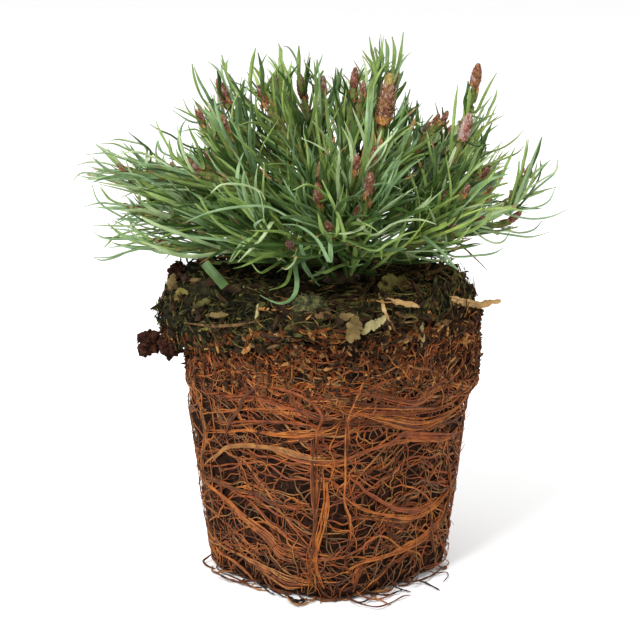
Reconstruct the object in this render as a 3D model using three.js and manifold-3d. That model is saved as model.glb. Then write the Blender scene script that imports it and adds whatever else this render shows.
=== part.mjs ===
// Mugo pine on its bare root ball, as it comes out of a square 11 cm nursery pot.
//
// Millimetres, +Z up. The origin is the centre of the root ball's flat underside, -Y is the front,
// and the corners of the ball lie on the X and Y axes.
//
// The plant is built as it grows: root ball, crust of moss and litter, short trunk, one tapering
// bough for each direction, and on each bough a mass of leafy shoots. Every shoot and needle is an
// arc, and a seeded rule sets its side shoots and needles.
import * as THREE from "three";
import { mergeVertices } from "three/addons/utils/BufferGeometryUtils.js";
import Module from "manifold-3d";

const wasm = await Module();
wasm.setup();

// ---------------------------------------------------------------- driving dimensions

const CLEARANCE = 0.3; // gap between solids that meet

// Root ball: the print of the pot. Half widths are across the flats.
const BALL_HEIGHT = 118;
const FOOT_HALF_WIDTH = 44;
const WALL_TAPER = 0.1; // growth of the half width for each mm of height
const RIM_HEIGHT = 82; // where the print of the pot's rim begins
const RIM_STEP = 2.4;
const RIM_SHIFT = 1.8; // to the right, above the rim's print
const FOOT_ROUNDING = 4;
const CORNER_POWER = 4; // power of the superellipse that rounds the square
const BALL_LEVELS = [0, 1.2, 4, 44, RIM_HEIGHT, RIM_HEIGHT + 4, BALL_HEIGHT];
const BALL_SIDES = 32;

// Roots that show on the ball
const CIRCLING_ROOTS = 7; // besides one down each corner
const ROOT_RADIUS = 2.2;
const ROOT_STEPS = 8;

// Crust of moss, bark and litter over the ball
const CRUST_TOP = 130; // at the trunk
const CRUST_FLAT = 20; // radius of the level ground round the trunk
const CRUST_RISE = 6; // from there to the left and right corners
const CRUST_SKIRT = 107; // mean height of the lower edge
const CRUST_SIDES = 44;
const CLOD_SIZE = 5.4; // the two clods that hang at the left corner

// Trunk
const TRUNK_FOOT = new THREE.Vector3(6, 2, CRUST_TOP + CLEARANCE);
const TRUNK_LENGTH = 42;
const TRUNK_TIP_RADIUS = 3;
const TRUNK_FOOT_RADIUS = 5.4;
const ROOT_FLARE = 3;

// Boughs and shoots
const BOUGH_FOOT_RADIUS = 2.1;
const SHOOT_RADIUS = 1.7; // where a bough's wood gives way to its leafy shoot
const SHOOT_TIP_RADIUS = 1.3;
const WOOD_LENGTH = 16;
const BUD_LENGTH = 10;
const BUD_RADIUS = 2.3;
const CANDLE_LENGTH = 23; // the one bud that has begun to stretch
const CANDLE_RADIUS = 3.4;

// Needles, larger than life because each stands for a few
const NEEDLES_PER_SHOOT = 12;
const NEEDLE_LENGTH = 41;
const NEEDLE_HALF_WIDTH = 1.9;
const NEEDLE_HALF_THICKNESS = 0.9;
const NEEDLE_WIDEST = 0.38; // share of its length
const GOLDEN_ANGLE = 137.5;
const SEED = 32;

// Each bough leaves the trunk at a height, in a direction (azimuth from +X, rise above the horizon),
// and bends upwards by `bend` over its whole length, wood and leafy shoot together.
const BOUGHS = [
  { name: "right_far", height: 135.5, azimuth: 346, rise: 12, bend: 38, length: 86, sides: 2 },
  { name: "back_far_right", height: 135.5, azimuth: 30, rise: 10, bend: 22, length: 84, sides: 1 },
  { name: "back_low", height: 135.5, azimuth: 93, rise: 16, bend: 16, length: 80, sides: 1 },
  { name: "back_far_left", height: 135.5, azimuth: 157, rise: 17, bend: 15, length: 88, sides: 1 },
  { name: "left_low", height: 135.5, azimuth: 197, rise: 15, bend: -10, length: 82, sides: 1 },
  { name: "left_front", height: 135.5, azimuth: 238, rise: 14, bend: 20, length: 66, sides: 2 },
  { name: "front_right", height: 135.5, azimuth: 281, rise: 12, bend: 50, length: 74, sides: 2 },

  { name: "right_low", height: 142, azimuth: 5, rise: 7, bend: 5, length: 76, sides: 2 },
  { name: "back_right", height: 142, azimuth: 53, rise: 27, bend: 15, length: 78, sides: 1 },
  { name: "back_left", height: 142, azimuth: 135, rise: 17, bend: 20, length: 82, sides: 1 },
  { name: "left_far", height: 142, azimuth: 189, rise: 17, bend: -8, length: 94, sides: 2 },
  { name: "front_left", height: 142, azimuth: 260, rise: 8, bend: 45, length: 66, sides: 2 },
  { name: "right_front", height: 142, azimuth: 317, rise: 12, bend: 8, length: 64, sides: 2 },

  { name: "right_high", height: 148.5, azimuth: 351, rise: 20, bend: 10, length: 68, sides: 1 },
  { name: "back_high", height: 148.5, azimuth: 87, rise: 41, bend: 20, length: 68, sides: 1 },
  { name: "left_mid", height: 148, azimuth: 181, rise: 27, bend: -18, length: 100, sides: 2 },
  { name: "front_low", height: 148.5, azimuth: 250, rise: 20, bend: -26, length: 62, sides: 1 },

  { name: "left_high", height: 152, azimuth: 204, rise: 27, bend: -5, length: 74, sides: 2 },
  { name: "right_tall", height: 155, azimuth: 10, rise: 40, bend: 15, length: 80, sides: 1 },
  { name: "left_tall", height: 157.5, azimuth: 173, rise: 34, bend: 22, length: 72, sides: 1 },
  { name: "centre_right", height: 159, azimuth: 344, rise: 59, bend: 5, length: 38, sides: 1, candle: true },
  { name: "centre_back", height: 160, azimuth: 127, rise: 56, bend: 8, length: 55, sides: 1 },
  { name: "centre_left", height: 164, azimuth: 192, rise: 48, bend: 10, length: 56, sides: 1 },
  { name: "top_right", height: 164.5, azimuth: 24, rise: 58, bend: 12, length: 60, sides: 0 },
];
const LEADER = { name: "leader", azimuth: 62, rise: 71, bend: 6, length: 38, sides: 1 };

// ---------------------------------------------------------------- small helpers

const UP = new THREE.Vector3(0, 0, 1);
const { lerp, smoothstep, degToRad } = THREE.MathUtils;

// Numbers from 0 to 1 in an order that the seed fixes.
function seeded(seed) {
  let state = seed * 7919 + 17;
  return () => {
    state = (state * 1664525 + 1013904223) % 4294967296;
    return state / 4294967296;
  };
}

function direction(azimuth, rise) {
  const a = degToRad(azimuth);
  const r = degToRad(rise);
  return new THREE.Vector3(Math.cos(r) * Math.cos(a), Math.cos(r) * Math.sin(a), Math.sin(r));
}

// The unit vector at right angles to `ahead` that is turned by `roll` degrees round it.
function across(ahead, roll) {
  const level = new THREE.Vector3().crossVectors(ahead, UP);
  if (level.lengthSq() < 1e-6) level.set(1, 0, 0);
  return level.normalize().applyAxisAngle(ahead, degToRad(roll));
}

// A circular arc that leaves `start` along `ahead` and turns towards `aside` by `turn` degrees.
class Arc {
  constructor(start, ahead, aside, turn, length) {
    Object.assign(this, { start, ahead, aside, turn: degToRad(turn), length });
  }

  at(t) {
    const a = this.turn * t;
    const straight = Math.abs(this.turn) < 1e-4;
    const forward = straight ? this.length * t : (this.length / this.turn) * Math.sin(a);
    const sideways = straight ? 0 : (this.length / this.turn) * (1 - Math.cos(a));
    return this.start.clone().addScaledVector(this.ahead, forward).addScaledVector(this.aside, sideways);
  }

  heading(t) {
    const a = this.turn * t;
    return this.ahead.clone().multiplyScalar(Math.cos(a)).addScaledVector(this.aside, Math.sin(a));
  }
}

function solidOf(geometry) {
  geometry.deleteAttribute("normal");
  geometry.deleteAttribute("uv");
  const merged = mergeVertices(geometry, 1e-4);
  return new wasm.Manifold(
    new wasm.Mesh({
      numProp: 3,
      vertProperties: merged.attributes.position.array,
      triVerts: new Uint32Array(merged.index.array),
    }),
  );
}

// A closed solid made of rings round an axis. place(along, turn, out) gives each point: along runs
// from 0 to 1, turn is the angle round the ring, and out is 1 on the wall and 0 on the axis.
function loft(template, place) {
  const points = template.attributes.position;
  for (let i = 0; i < points.count; i++) {
    const onWall = Math.hypot(points.getX(i), points.getZ(i)) > 1e-6;
    const turn = onWall ? Math.atan2(-points.getZ(i), points.getX(i)) : 0;
    const p = place(points.getY(i) + 0.5, turn, onWall ? 1 : 0);
    points.setXYZ(i, p.x, p.y, p.z);
  }
  return solidOf(template);
}

// The templates that a loft reshapes: a bar with flat ends, and a spindle with two points.
const bar = (sides, steps) => new THREE.CylinderGeometry(1, 1, 1, sides, steps);
const spindle = (sides, steps) => new THREE.SphereGeometry(0.5, sides, steps);

// A point on the skin round an arc, whose section has half axes `wide` across the arc's plane and
// `deep` in it.
function skin(arc, t, turn, wide, deep) {
  const broad = new THREE.Vector3().crossVectors(arc.ahead, arc.aside);
  const inPlane = new THREE.Vector3().crossVectors(arc.heading(t), broad);
  return arc
    .at(t)
    .addScaledVector(broad, wide * Math.cos(turn))
    .addScaledVector(inPlane, deep * Math.sin(turn));
}

// A round limb or bud along an arc. radius(t) is its radius.
function limb(template, arc, radius) {
  return loft(template, (t, turn, out) => skin(arc, t, turn, radius(t) * out, radius(t) * out));
}

// The one body that fusing was meant to give: no loose scrap, and no sealed hollow.
function wholeBody(solid) {
  return solid.decompose().reduce((a, b) => (b.volume() > a.volume() ? b : a));
}

function fuse(solids) {
  return wholeBody(wasm.Manifold.union(solids));
}

const plant = new THREE.Group();
const ground = new THREE.Group();
const crown = new THREE.Group();
plant.add(ground, crown);

// Adds a solid to a group as a mesh of its own, placed at its natural origin.
function addNode(group, name, solid, material, origin = new THREE.Vector3()) {
  const mesh = solid.getMesh();
  const geometry = new THREE.BufferGeometry();
  geometry.setAttribute("position", new THREE.BufferAttribute(mesh.vertProperties, mesh.numProp));
  geometry.setIndex(new THREE.BufferAttribute(mesh.triVerts, 1));
  geometry.translate(-origin.x, -origin.y, -origin.z);
  geometry.computeVertexNormals();
  const node = new THREE.Mesh(geometry, material);
  node.name = name;
  node.position.copy(origin);
  group.add(node);
}

const finish = (color, roughness) => new THREE.MeshStandardMaterial({ color, roughness, metalness: 0 });
const SOIL = finish(0x8a4a22, 0.95);
const MOSS = finish(0x2c2b1c, 0.97);
const BARK = finish(0x6b5138, 0.9);
const NEEDLES = finish(0x4f7d50, 0.55);

// ---------------------------------------------------------------- root ball

function wallHalfWidth(z) {
  const rounding = Math.max(0, FOOT_ROUNDING - z);
  const cut = FOOT_ROUNDING - Math.sqrt(FOOT_ROUNDING ** 2 - rounding ** 2);
  const aboveRim = Math.max(0, z - RIM_HEIGHT);
  const taper = WALL_TAPER * (z - aboveRim / 2);
  return FOOT_HALF_WIDTH + taper + RIM_STEP * smoothstep(aboveRim, 0, 4) - cut;
}

// How far the rounded square reaches at an angle, for a half width of 1.
function squareReach(angle) {
  const a = angle - Math.PI / 4;
  const sum = Math.abs(Math.cos(a)) ** CORNER_POWER + Math.abs(Math.sin(a)) ** CORNER_POWER;
  return sum ** (-1 / CORNER_POWER);
}

function ballWall(angle, z) {
  const lumps = 0.5 * Math.sin(5 * angle + 0.09 * z) + 0.4 * Math.sin(9 * angle - 0.13 * z + 2);
  const shift = RIM_SHIFT * Math.cos(angle) * smoothstep(z, RIM_HEIGHT - 4, RIM_HEIGHT + 4);
  return wallHalfWidth(z) * squareReach(angle) + shift + lumps;
}

function ballCore(grow) {
  const last = BALL_LEVELS.length - 1;
  return loft(bar(BALL_SIDES, last), (along, turn, out) => {
    const step = Math.round(along * last);
    const z = BALL_LEVELS[step];
    const r = (ballWall(turn, z) + grow) * out;
    return new THREE.Vector3(r * Math.cos(turn), r * Math.sin(turn), step === last ? z + grow : z);
  });
}

// A root that lies half sunk in the ball's wall, its ends buried. route(t) gives its angle and height.
function wallRoot(route, radius) {
  const onWall = (t) => {
    const [angle, z] = route(t);
    const r = ballWall(angle, z) - (t < 0.01 || t > 0.99 ? 2 * radius : 0);
    return new THREE.Vector3(r * Math.cos(angle), r * Math.sin(angle), z);
  };
  return loft(spindle(3, ROOT_STEPS), (t, turn, out) => {
    const centre = onWall(t);
    const ahead = onWall(t + 0.01).sub(onWall(t - 0.01)).normalize();
    const outward = new THREE.Vector3(centre.x, centre.y, 0).normalize();
    const level = new THREE.Vector3().crossVectors(ahead, outward).normalize();
    const half = radius * (1 - 0.45 * t) * out;
    return centre.addScaledVector(outward, half * Math.cos(turn)).addScaledVector(level, half * Math.sin(turn));
  });
}

function circlingRoot(index) {
  const random = seeded(SEED + 100 + index);
  const start = (index / CIRCLING_ROOTS + 0.05 * random()) * 2 * Math.PI;
  const height = lerp(16, RIM_HEIGHT - 10, (index * 0.618) % 1);
  const span = lerp(1, 1.9, random());
  const climb = lerp(-14, 14, random());
  const wave = 3 * random();
  const route = (t) => [start + span * t, height + climb * t + wave * Math.sin(6 * t + index)];
  return wallRoot(route, ROOT_RADIUS * lerp(0.7, 1.3, random()));
}

function cornerRoot(corner) {
  const random = seeded(SEED + 200 + 10 * corner);
  const middle = (corner * Math.PI) / 2 + 0.12 * (random() - 0.5);
  const top = lerp(50, 84, random());
  const sway = 0.03 + 0.04 * random();
  const route = (t) => [middle + sway * Math.sin(5 * t), lerp(top, 5, t)];
  return wallRoot(route, ROOT_RADIUS * lerp(0.8, 1.1, random()));
}

function makeRootBall() {
  const roots = [];
  for (let i = 0; i < CIRCLING_ROOTS; i++) roots.push(circlingRoot(i));
  for (let corner = 0; corner < 4; corner++) roots.push(cornerRoot(corner));
  addNode(ground, "root_ball", fuse([ballCore(0), ...roots]), SOIL);
}

// ---------------------------------------------------------------- crust

const crustEdge = (angle) =>
  ballWall(angle, BALL_HEIGHT) + 2.8 - 4.5 * Math.cos(angle) + 0.8 * Math.sin(6 * angle + 1);

// The skirt hangs low on the left, and ends just under the ball's top at the front corner.
const crustFoot = (angle) =>
  CRUST_SKIRT +
  5 * Math.cos(angle) -
  5 * Math.sin(angle) -
  4 * Math.cos(2 * angle) +
  1.2 * Math.sin(7 * angle + 1);

function crustTop(x, y) {
  const r = Math.hypot(x, y);
  const angle = Math.atan2(y, x);
  const share = Math.max(0, r - CRUST_FLAT) / (crustEdge(angle) - CRUST_FLAT);
  const lumps = 1.1 * Math.sin(0.17 * x + 1) * Math.cos(0.15 * y) + 0.6 * Math.sin(0.31 * (x + y));
  return CRUST_TOP + share * (CRUST_RISE * Math.cos(angle) ** 2 + lumps);
}

// The crust's rings, from the lower edge of its skirt over its shoulder to the level ground:
// how far out of the edge, and how far up from the skirt's foot to the top.
const CRUST_RINGS = [
  { out: 0.96, up: 0 },
  { out: 1, up: 0.35 },
  { out: 0.99, up: 0.65 },
  { out: 0.93, up: 1 },
  { out: 0.78, up: 1 },
  { out: 0.56, up: 1 },
  { out: 0.3, up: 1 },
];

// A clod: a lumpy ball, a little taller than wide.
function clod(centre, size, phase) {
  const geometry = new THREE.IcosahedronGeometry(1, 1);
  const points = geometry.attributes.position;
  const p = new THREE.Vector3();
  for (let i = 0; i < points.count; i++) {
    p.fromBufferAttribute(points, i);
    const lump = 1 + 0.13 * Math.sin(4 * p.x + phase) + 0.12 * Math.sin(3 * p.z + 3 * p.y + 2 * phase);
    p.multiplyScalar(size * lump).setZ(1.15 * p.z).add(centre);
    points.setXYZ(i, p.x, p.y, p.z);
  }
  return solidOf(geometry);
}

function makeCrust() {
  const last = CRUST_RINGS.length - 1;
  const cap = loft(bar(CRUST_SIDES, last), (along, turn, out) => {
    const ring = CRUST_RINGS[Math.round(along * last)];
    const r = crustEdge(turn) * ring.out * out;
    const x = r * Math.cos(turn);
    const y = r * Math.sin(turn);
    return new THREE.Vector3(x, y, lerp(crustFoot(turn), crustTop(x, y), ring.up));
  });
  const corner = -crustEdge(Math.PI);
  const clods = [
    clod(new THREE.Vector3(corner + 3, -5, 103), CLOD_SIZE, 1),
    clod(new THREE.Vector3(corner - 5.5, -3, 103.5), CLOD_SIZE, 4),
  ];
  const crust = wholeBody(fuse([cap, ...clods]).subtract(ballCore(CLEARANCE)));
  addNode(ground, "moss_crust", crust, MOSS);
}

// ---------------------------------------------------------------- room between the solids

// Keeps every solid of the crown to its own space. Each solid is held as a chain of capsules. A new
// one is clear if it keeps its distance from the crust and from everyone else's, and if it crosses
// nothing of its own mass but the stem it stands on.
class Room {
  constructor() {
    this.capsules = [];
  }

  chain(arc, radius) {
    return [0, 1, 2, 3].map((i) => ({
      line: new THREE.Line3(arc.at(i / 4), arc.at((i + 1) / 4)),
      radius,
      rooted: i === 0,
    }));
  }

  claim(owner, arc, radius, stem = false) {
    for (const capsule of this.chain(arc, radius)) this.capsules.push({ owner, stem, ...capsule });
  }

  isClear(owner, arc, radius) {
    const mine = this.chain(arc, radius);
    for (const { line } of mine) {
      const { x, y, z } = line.end;
      if (Math.hypot(x, y) < crustEdge(Math.atan2(y, x)) + 3 && z < crustTop(x, y) + radius + 0.8) return false;
    }
    return this.capsules.every((other) => {
      const own = other.owner === owner;
      if (own && (other.stem || other.rooted)) return true;
      const gap = radius + other.radius + (own ? 0 : CLEARANCE);
      return mine.every(
        ({ line, rooted }) => (own && rooted) || line.distanceSqToLine3(other.line) > gap ** 2,
      );
    });
  }
}

const room = new Room();

// ---------------------------------------------------------------- trunk and boughs

const trunkArc = new Arc(TRUNK_FOOT, direction(200, 86), direction(20, 4), 8, TRUNK_LENGTH);
const trunkRadius = (t) =>
  lerp(TRUNK_FOOT_RADIUS, TRUNK_TIP_RADIUS, t) + ROOT_FLARE * Math.exp((-t * TRUNK_LENGTH) / 3);

// The trunk, its foot cut flat and level.
function trunkSolid(grow) {
  return loft(bar(8, 7), (t, turn, out) => {
    const p = trunkArc.at(t);
    const r = (trunkRadius(t) + grow) * out;
    return p.add(new THREE.Vector3(r * Math.cos(turn), r * Math.sin(turn), 0));
  });
}

// An arc in a vertical plane.
const risingArc = (start, { azimuth, rise, bend, length }) =>
  new Arc(start, direction(azimuth, rise), direction(azimuth, rise + 90), bend, length);

// The whole line of a bough, wood and leafy shoot, from the trunk's axis to the bud.
const boughArc = (bough) => risingArc(trunkArc.at((bough.height - TRUNK_FOOT.z) / TRUNK_LENGTH), bough);

// The stretch of an arc between two shares of its length.
function stretch(arc, from, to) {
  const aside = new THREE.Vector3()
    .copy(arc.aside)
    .multiplyScalar(Math.cos(arc.turn * from))
    .addScaledVector(arc.ahead, -Math.sin(arc.turn * from));
  const turn = THREE.MathUtils.radToDeg(arc.turn) * (to - from);
  return new Arc(arc.at(from), arc.heading(from), aside, turn, arc.length * (to - from));
}

// Adds a bough's wood, and gives back the arc of its leafy shoot.
function makeBough(bough) {
  const whole = boughArc(bough);
  const wood = stretch(whole, 0, (WOOD_LENGTH - CLEARANCE / 2) / bough.length);
  const radius = (t) => lerp(BOUGH_FOOT_RADIUS, SHOOT_RADIUS, t);
  const solid = limb(bar(6, 2), wood, radius).subtract(trunkSolid(CLEARANCE));
  addNode(crown, "bough_" + bough.name, wholeBody(solid), BARK, wood.start);
  room.claim("bough_" + bough.name, stretch(wood, 0.35, 1), BOUGH_FOOT_RADIUS);
  return stretch(whole, (WOOD_LENGTH + CLEARANCE / 2) / bough.length, 1);
}

// ---------------------------------------------------------------- masses of foliage

// A side shoot leaves the leader at a slant, turns up towards the light and is a little shorter.
// The side shoots of one leader are spread round it.
function sideShoot(leader, random, index, count) {
  const from = lerp(0.12, 0.42, random());
  const ahead = leader.heading(from);
  const roll = (360 * (index + random())) / count;
  const slant = lerp(24, 38, random());
  const heading = ahead
    .clone()
    .multiplyScalar(Math.cos(degToRad(slant)))
    .addScaledVector(across(ahead, roll), Math.sin(degToRad(slant)))
    .normalize();
  const upwards = UP.clone().addScaledVector(heading, -heading.z).normalize();
  const length = leader.length * lerp(0.55, 0.8, random());
  return new Arc(leader.at(from), heading, upwards, lerp(6, 22, random()), length);
}

// The leader and those of its side shoots that find room and don't sink towards the ground.
function shootsOf(mass, leader, random) {
  const shoots = [{ arc: leader, bud: mass.candle ? "candle" : "bud" }];
  for (let i = 0; i < mass.sides; i++) {
    for (let attempt = 0; attempt < 8; attempt++) {
      const arc = sideShoot(leader, random, i, mass.sides);
      const sinks = arc.heading(0).z < leader.heading(0).z - 0.15;
      if (sinks || !room.isClear(mass.name, arc, SHOOT_RADIUS + 1)) continue;
      shoots.push({ arc, bud: "bud" });
      room.claim(mass.name, arc, SHOOT_RADIUS, true);
      break;
    }
  }
  return shoots;
}

function budSolid(owner, { arc, bud }) {
  const candle = bud === "candle";
  const length = candle ? CANDLE_LENGTH : BUD_LENGTH;
  const widest = candle ? CANDLE_RADIUS : BUD_RADIUS;
  const tip = new Arc(arc.at(0.98), arc.heading(1), across(arc.heading(1), 0), 0, length);
  room.claim(owner, tip, 0.8 * widest);
  return limb(spindle(5, 3), tip, (t) => widest * Math.sin(Math.PI * lerp(0.18, 1, t)) ** 0.7);
}

// Needle `index` of a shoot, counted from its bud: those at the bud close round it, and those
// lower down stand out. Each curves back towards the shoot's line.
function needleArc({ arc }, index, random) {
  const down = (index + 0.5) / NEEDLES_PER_SHOOT;
  const at = 0.9 * (1 - down);
  const ahead = arc.heading(at);
  const splay = lerp(30, 60, down) + 10 * (random() - 0.5);
  const outward = across(ahead, index * GOLDEN_ANGLE + 90 * (random() - 0.5));
  const tilt = degToRad(splay);
  const heading = ahead.clone().multiplyScalar(Math.cos(tilt)).addScaledVector(outward, Math.sin(tilt));
  const inward = ahead.clone().multiplyScalar(Math.sin(tilt)).addScaledVector(outward, -Math.cos(tilt));
  const length = NEEDLE_LENGTH * lerp(0.7, 1, Math.min(1, 2 * down)) * lerp(0.85, 1.1, random());
  const root = arc.at(at).addScaledVector(outward, -0.5 * SHOOT_TIP_RADIUS);
  return new Arc(root, heading, inward, splay * lerp(0.1, 1, random()), length);
}

// A needle is a blade with two points and one ring of corners, at its widest place.
function needleSolid(arc) {
  return loft(spindle(3, 2), (along, turn, out) =>
    skin(arc, out ? NEEDLE_WIDEST : along, turn, NEEDLE_HALF_WIDTH * out, NEEDLE_HALF_THICKNESS * out),
  );
}

const masses = [];

function startMass(mass, leader, seed) {
  const random = seeded(SEED + seed);
  const shoots = shootsOf(mass, leader, random);
  const solids = shoots.flatMap((shoot, i) => {
    const foot = i ? SHOOT_TIP_RADIUS * 1.1 : SHOOT_RADIUS;
    return [limb(bar(4, 2), shoot.arc, (t) => lerp(foot, SHOOT_TIP_RADIUS, t)), budSolid(mass.name, shoot)];
  });
  masses.push({ name: mass.name, leader, shoots, solids, random });
}

// Needles are dealt out in turn, from the buds down, so that no mass takes all the room.
function growNeedles() {
  for (let index = 0; index < NEEDLES_PER_SHOOT; index++) {
    for (const mass of masses) {
      for (const shoot of mass.shoots) {
        let arc = null;
        for (let attempt = 0; attempt < 8 && !arc; attempt++) {
          const trial = needleArc(shoot, index, mass.random);
          if (room.isClear(mass.name, trial, NEEDLE_HALF_WIDTH)) arc = trial;
        }
        if (!arc) continue;
        room.claim(mass.name, arc, NEEDLE_HALF_WIDTH);
        mass.solids.push(needleSolid(arc));
      }
    }
  }
}

// ---------------------------------------------------------------- assembly

makeRootBall();
makeCrust();
addNode(crown, "trunk", trunkSolid(0), BARK, TRUNK_FOOT);
room.claim("trunk", trunkArc, TRUNK_FOOT_RADIUS);

const leaders = BOUGHS.map((bough) => makeBough(bough));
const topStart = trunkArc.at(1).addScaledVector(UP, 3 * CLEARANCE);
leaders.push(risingArc(topStart, LEADER));
const grown = [...BOUGHS, LEADER];
grown.forEach((mass, i) => room.claim(mass.name, leaders[i], SHOOT_RADIUS, true));
grown.forEach((mass, i) => startMass(mass, leaders[i], i));
growNeedles();
for (const { name, leader, solids } of masses) {
  addNode(crown, "mass_" + name, fuse(solids), NEEDLES, leader.start);
}

export default plant;
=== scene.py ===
"""Looks of the young mugo pine on its bare root ball.

Sizes are millimetres in the row frame (+Z up, -Y the front), turned into metres when a mesh is made.
The root ball, crust, trunk and boughs follow the CAD model's own formulas, and every mass of foliage
grows again by the CAD model's rule, with more and finer needles.
"""

import math

import bpy
import numpy as np
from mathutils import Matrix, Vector, noise
from mathutils.bvhtree import BVHTree


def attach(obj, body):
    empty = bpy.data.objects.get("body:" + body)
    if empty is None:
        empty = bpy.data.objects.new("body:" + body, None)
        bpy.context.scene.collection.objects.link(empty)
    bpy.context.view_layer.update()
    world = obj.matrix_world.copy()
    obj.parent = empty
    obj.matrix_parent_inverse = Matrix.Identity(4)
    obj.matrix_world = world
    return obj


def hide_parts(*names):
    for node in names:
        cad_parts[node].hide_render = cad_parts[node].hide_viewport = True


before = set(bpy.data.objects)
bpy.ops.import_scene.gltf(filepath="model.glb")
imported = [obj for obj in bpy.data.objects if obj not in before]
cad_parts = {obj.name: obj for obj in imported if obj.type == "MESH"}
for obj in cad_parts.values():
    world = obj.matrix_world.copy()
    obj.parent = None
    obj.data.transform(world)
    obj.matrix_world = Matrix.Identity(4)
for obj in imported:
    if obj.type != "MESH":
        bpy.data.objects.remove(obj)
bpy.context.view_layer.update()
NODES = sorted(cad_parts)
MM = 0.001

# ---------------------------------------------------------------- sizes shared with the CAD model

CLEARANCE = 0.3

BALL_HEIGHT = 118
FOOT_HALF_WIDTH = 44
WALL_TAPER = 0.1
RIM_HEIGHT = 82
RIM_STEP = 2.4
RIM_SHIFT = 1.8
FOOT_ROUNDING = 4
CORNER_POWER = 4

CRUST_TOP = 130
CRUST_FLAT = 20
CRUST_RISE = 6
CRUST_SKIRT = 107

TRUNK_FOOT = np.array([6, 2, CRUST_TOP + CLEARANCE])
TRUNK_LENGTH = 42
TRUNK_TIP_RADIUS = 3
TRUNK_FOOT_RADIUS = 5.4
ROOT_FLARE = 3

BOUGH_FOOT_RADIUS = 2.1
SHOOT_RADIUS = 1.7
SHOOT_TIP_RADIUS = 1.3
WOOD_LENGTH = 16
BUD_LENGTH = 10
BUD_RADIUS = 2.3
CANDLE_LENGTH = 23
CANDLE_RADIUS = 3.4
GOLDEN_ANGLE = 137.5
SEED = 32

# name, height on the trunk, azimuth, rise, bend, length, number of side shoots
BOUGHS = [
    ("right_far", 135.5, 346, 12, 38, 86, 2),
    ("back_far_right", 135.5, 30, 10, 22, 84, 1),
    ("back_low", 135.5, 93, 16, 16, 80, 1),
    ("back_far_left", 135.5, 157, 17, 15, 88, 1),
    ("left_low", 135.5, 197, 15, -10, 82, 1),
    ("left_front", 135.5, 238, 14, 20, 66, 2),
    ("front_right", 135.5, 281, 12, 50, 74, 2),
    ("right_low", 142, 5, 7, 5, 76, 2),
    ("back_right", 142, 53, 27, 15, 78, 1),
    ("back_left", 142, 135, 17, 20, 82, 1),
    ("left_far", 142, 189, 17, -8, 94, 2),
    ("front_left", 142, 260, 8, 45, 66, 2),
    ("right_front", 142, 317, 12, 8, 64, 2),
    ("right_high", 148.5, 351, 20, 10, 68, 1),
    ("back_high", 148.5, 87, 41, 20, 68, 1),
    ("left_mid", 148, 181, 27, -18, 100, 2),
    ("front_low", 148.5, 250, 20, -26, 62, 1),
    ("left_high", 152, 204, 27, -5, 74, 2),
    ("right_tall", 155, 10, 40, 15, 80, 1),
    ("left_tall", 157.5, 173, 34, 22, 72, 1),
    ("centre_right", 159, 344, 59, 5, 38, 1),
    ("centre_back", 160, 127, 56, 8, 55, 1),
    ("centre_left", 164, 192, 48, 10, 56, 1),
    ("top_right", 164.5, 24, 58, 12, 60, 0),
]
LEADER = ("leader", None, 62, 71, 6, 38, 1)
CANDLE_MASS = "centre_right"

# ---------------------------------------------------------------- sizes of the finer detail

ROOT_RADIUS = 0.38  # of an ordinary strand on the ball
CIRCLING_STRANDS = 460
WANDERING_STRANDS = 2300
LOOSE_STRANDS = 900
LOOSE_TOP, LOOSE_DROP = 115, 32  # the height of the highest, and how far down they reach
FLAKES = 3200
FLAKE_BAND = (90, 118)  # the heights between which they lie
WALL_CHIPS = 90
WALL_CHIP_BAND = (4, 90)
FUZZ_HAIRS = 700
SOIL_PATCH = 10  # about the size of the bare patches of soil
WALL_REACH, RIM_REACH = 52, 56  # mm from the axis, to turn a length along the wall into an angle
RIM_WEAR = 2.2  # on the right
LEFT_WEAR = 1.2
FOOT_WEAR = 0.6
SOIL_SUNK = 0.8  # how far the soil lies inside the ball's outer skin

MOSS_DEPTH = 1.2  # how far the crust's bed lies inside its outer skin of moss and litter
CRUST_WEAR = 2.8  # how much further in it lies on the right
CORNER_SWELL = 1.6  # how much less on the left
LEFT_SHOULDER, RIGHT_SHOULDER = 2.4, 1.5  # how far its shoulders are worn in
CORNER_DENT = 2
# Where the crust's lower edge draws back: by how much, round which angle, and the spread in degrees.
SKIRT_GAPS = [(7, 182, 22), (1.5, 262, 32), (3, 60, 40)]
CHIPS = 900
MOSS_FRONDS = 4600
CRUST_FIBRES = 2600
LITTER_LIFT = 1.8  # of the pieces at the front over the bed, above their own lifts

PAIRS_ON_ANY_SHOOT = 8
PAIRS_PER_MM = 0.175  # of a shoot's length
PAIRS_ON_A_BOUGH = 4
LEFT_DENSITY = 0.96
NEEDLE_LENGTH = 43
NEEDLE_HALF_WIDTH = 0.8
SHEATH_LENGTH = 3.2
SHEATH_RADIUS = 0.75
NEEDLE_SPLAY = (16, 38)  # degrees off the shoot, at its tip and at its foot
NEEDLE_SWAY = 0.11
NEEDLE_HOOK = 0.85
TRUNK_MARGIN = 0.4  # between needles and the trunk
BUD_MARGIN = 0.5  # between needles and a bud
SHOWN_MARGIN = 0.6  # beside a bud that shows, for the needles before it
SPARE_ABOVE, SPARE_BELOW = 2.4, 4.0  # mean distances of needles from the crown's outline
LEAST_SHARE = 0.6  # of its length, for a needle that the outline cuts back to stay
BROWN_SHARE = 0.1  # of the pairs, with brown tips
BRACTS = 8  # on a shoot
BUD_SCALES = 64
CANDLE_SCALES = 250
CANDLE_FOOT_END, CANDLE_TOP_START = 0.1, 0.74  # shares of its length
SHOWN_BUD_SIZE = (0.85, 1.15)  # smallest and largest, as shares of the CAD model's
HIDDEN_BUD_SIZE = (0.6, 0.85)
RESIN_SHARE = 0.16  # of a bud's scales
ROSY_SHARE = (0.15, 0.65)  # of a bud's scales, least and most
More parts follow.
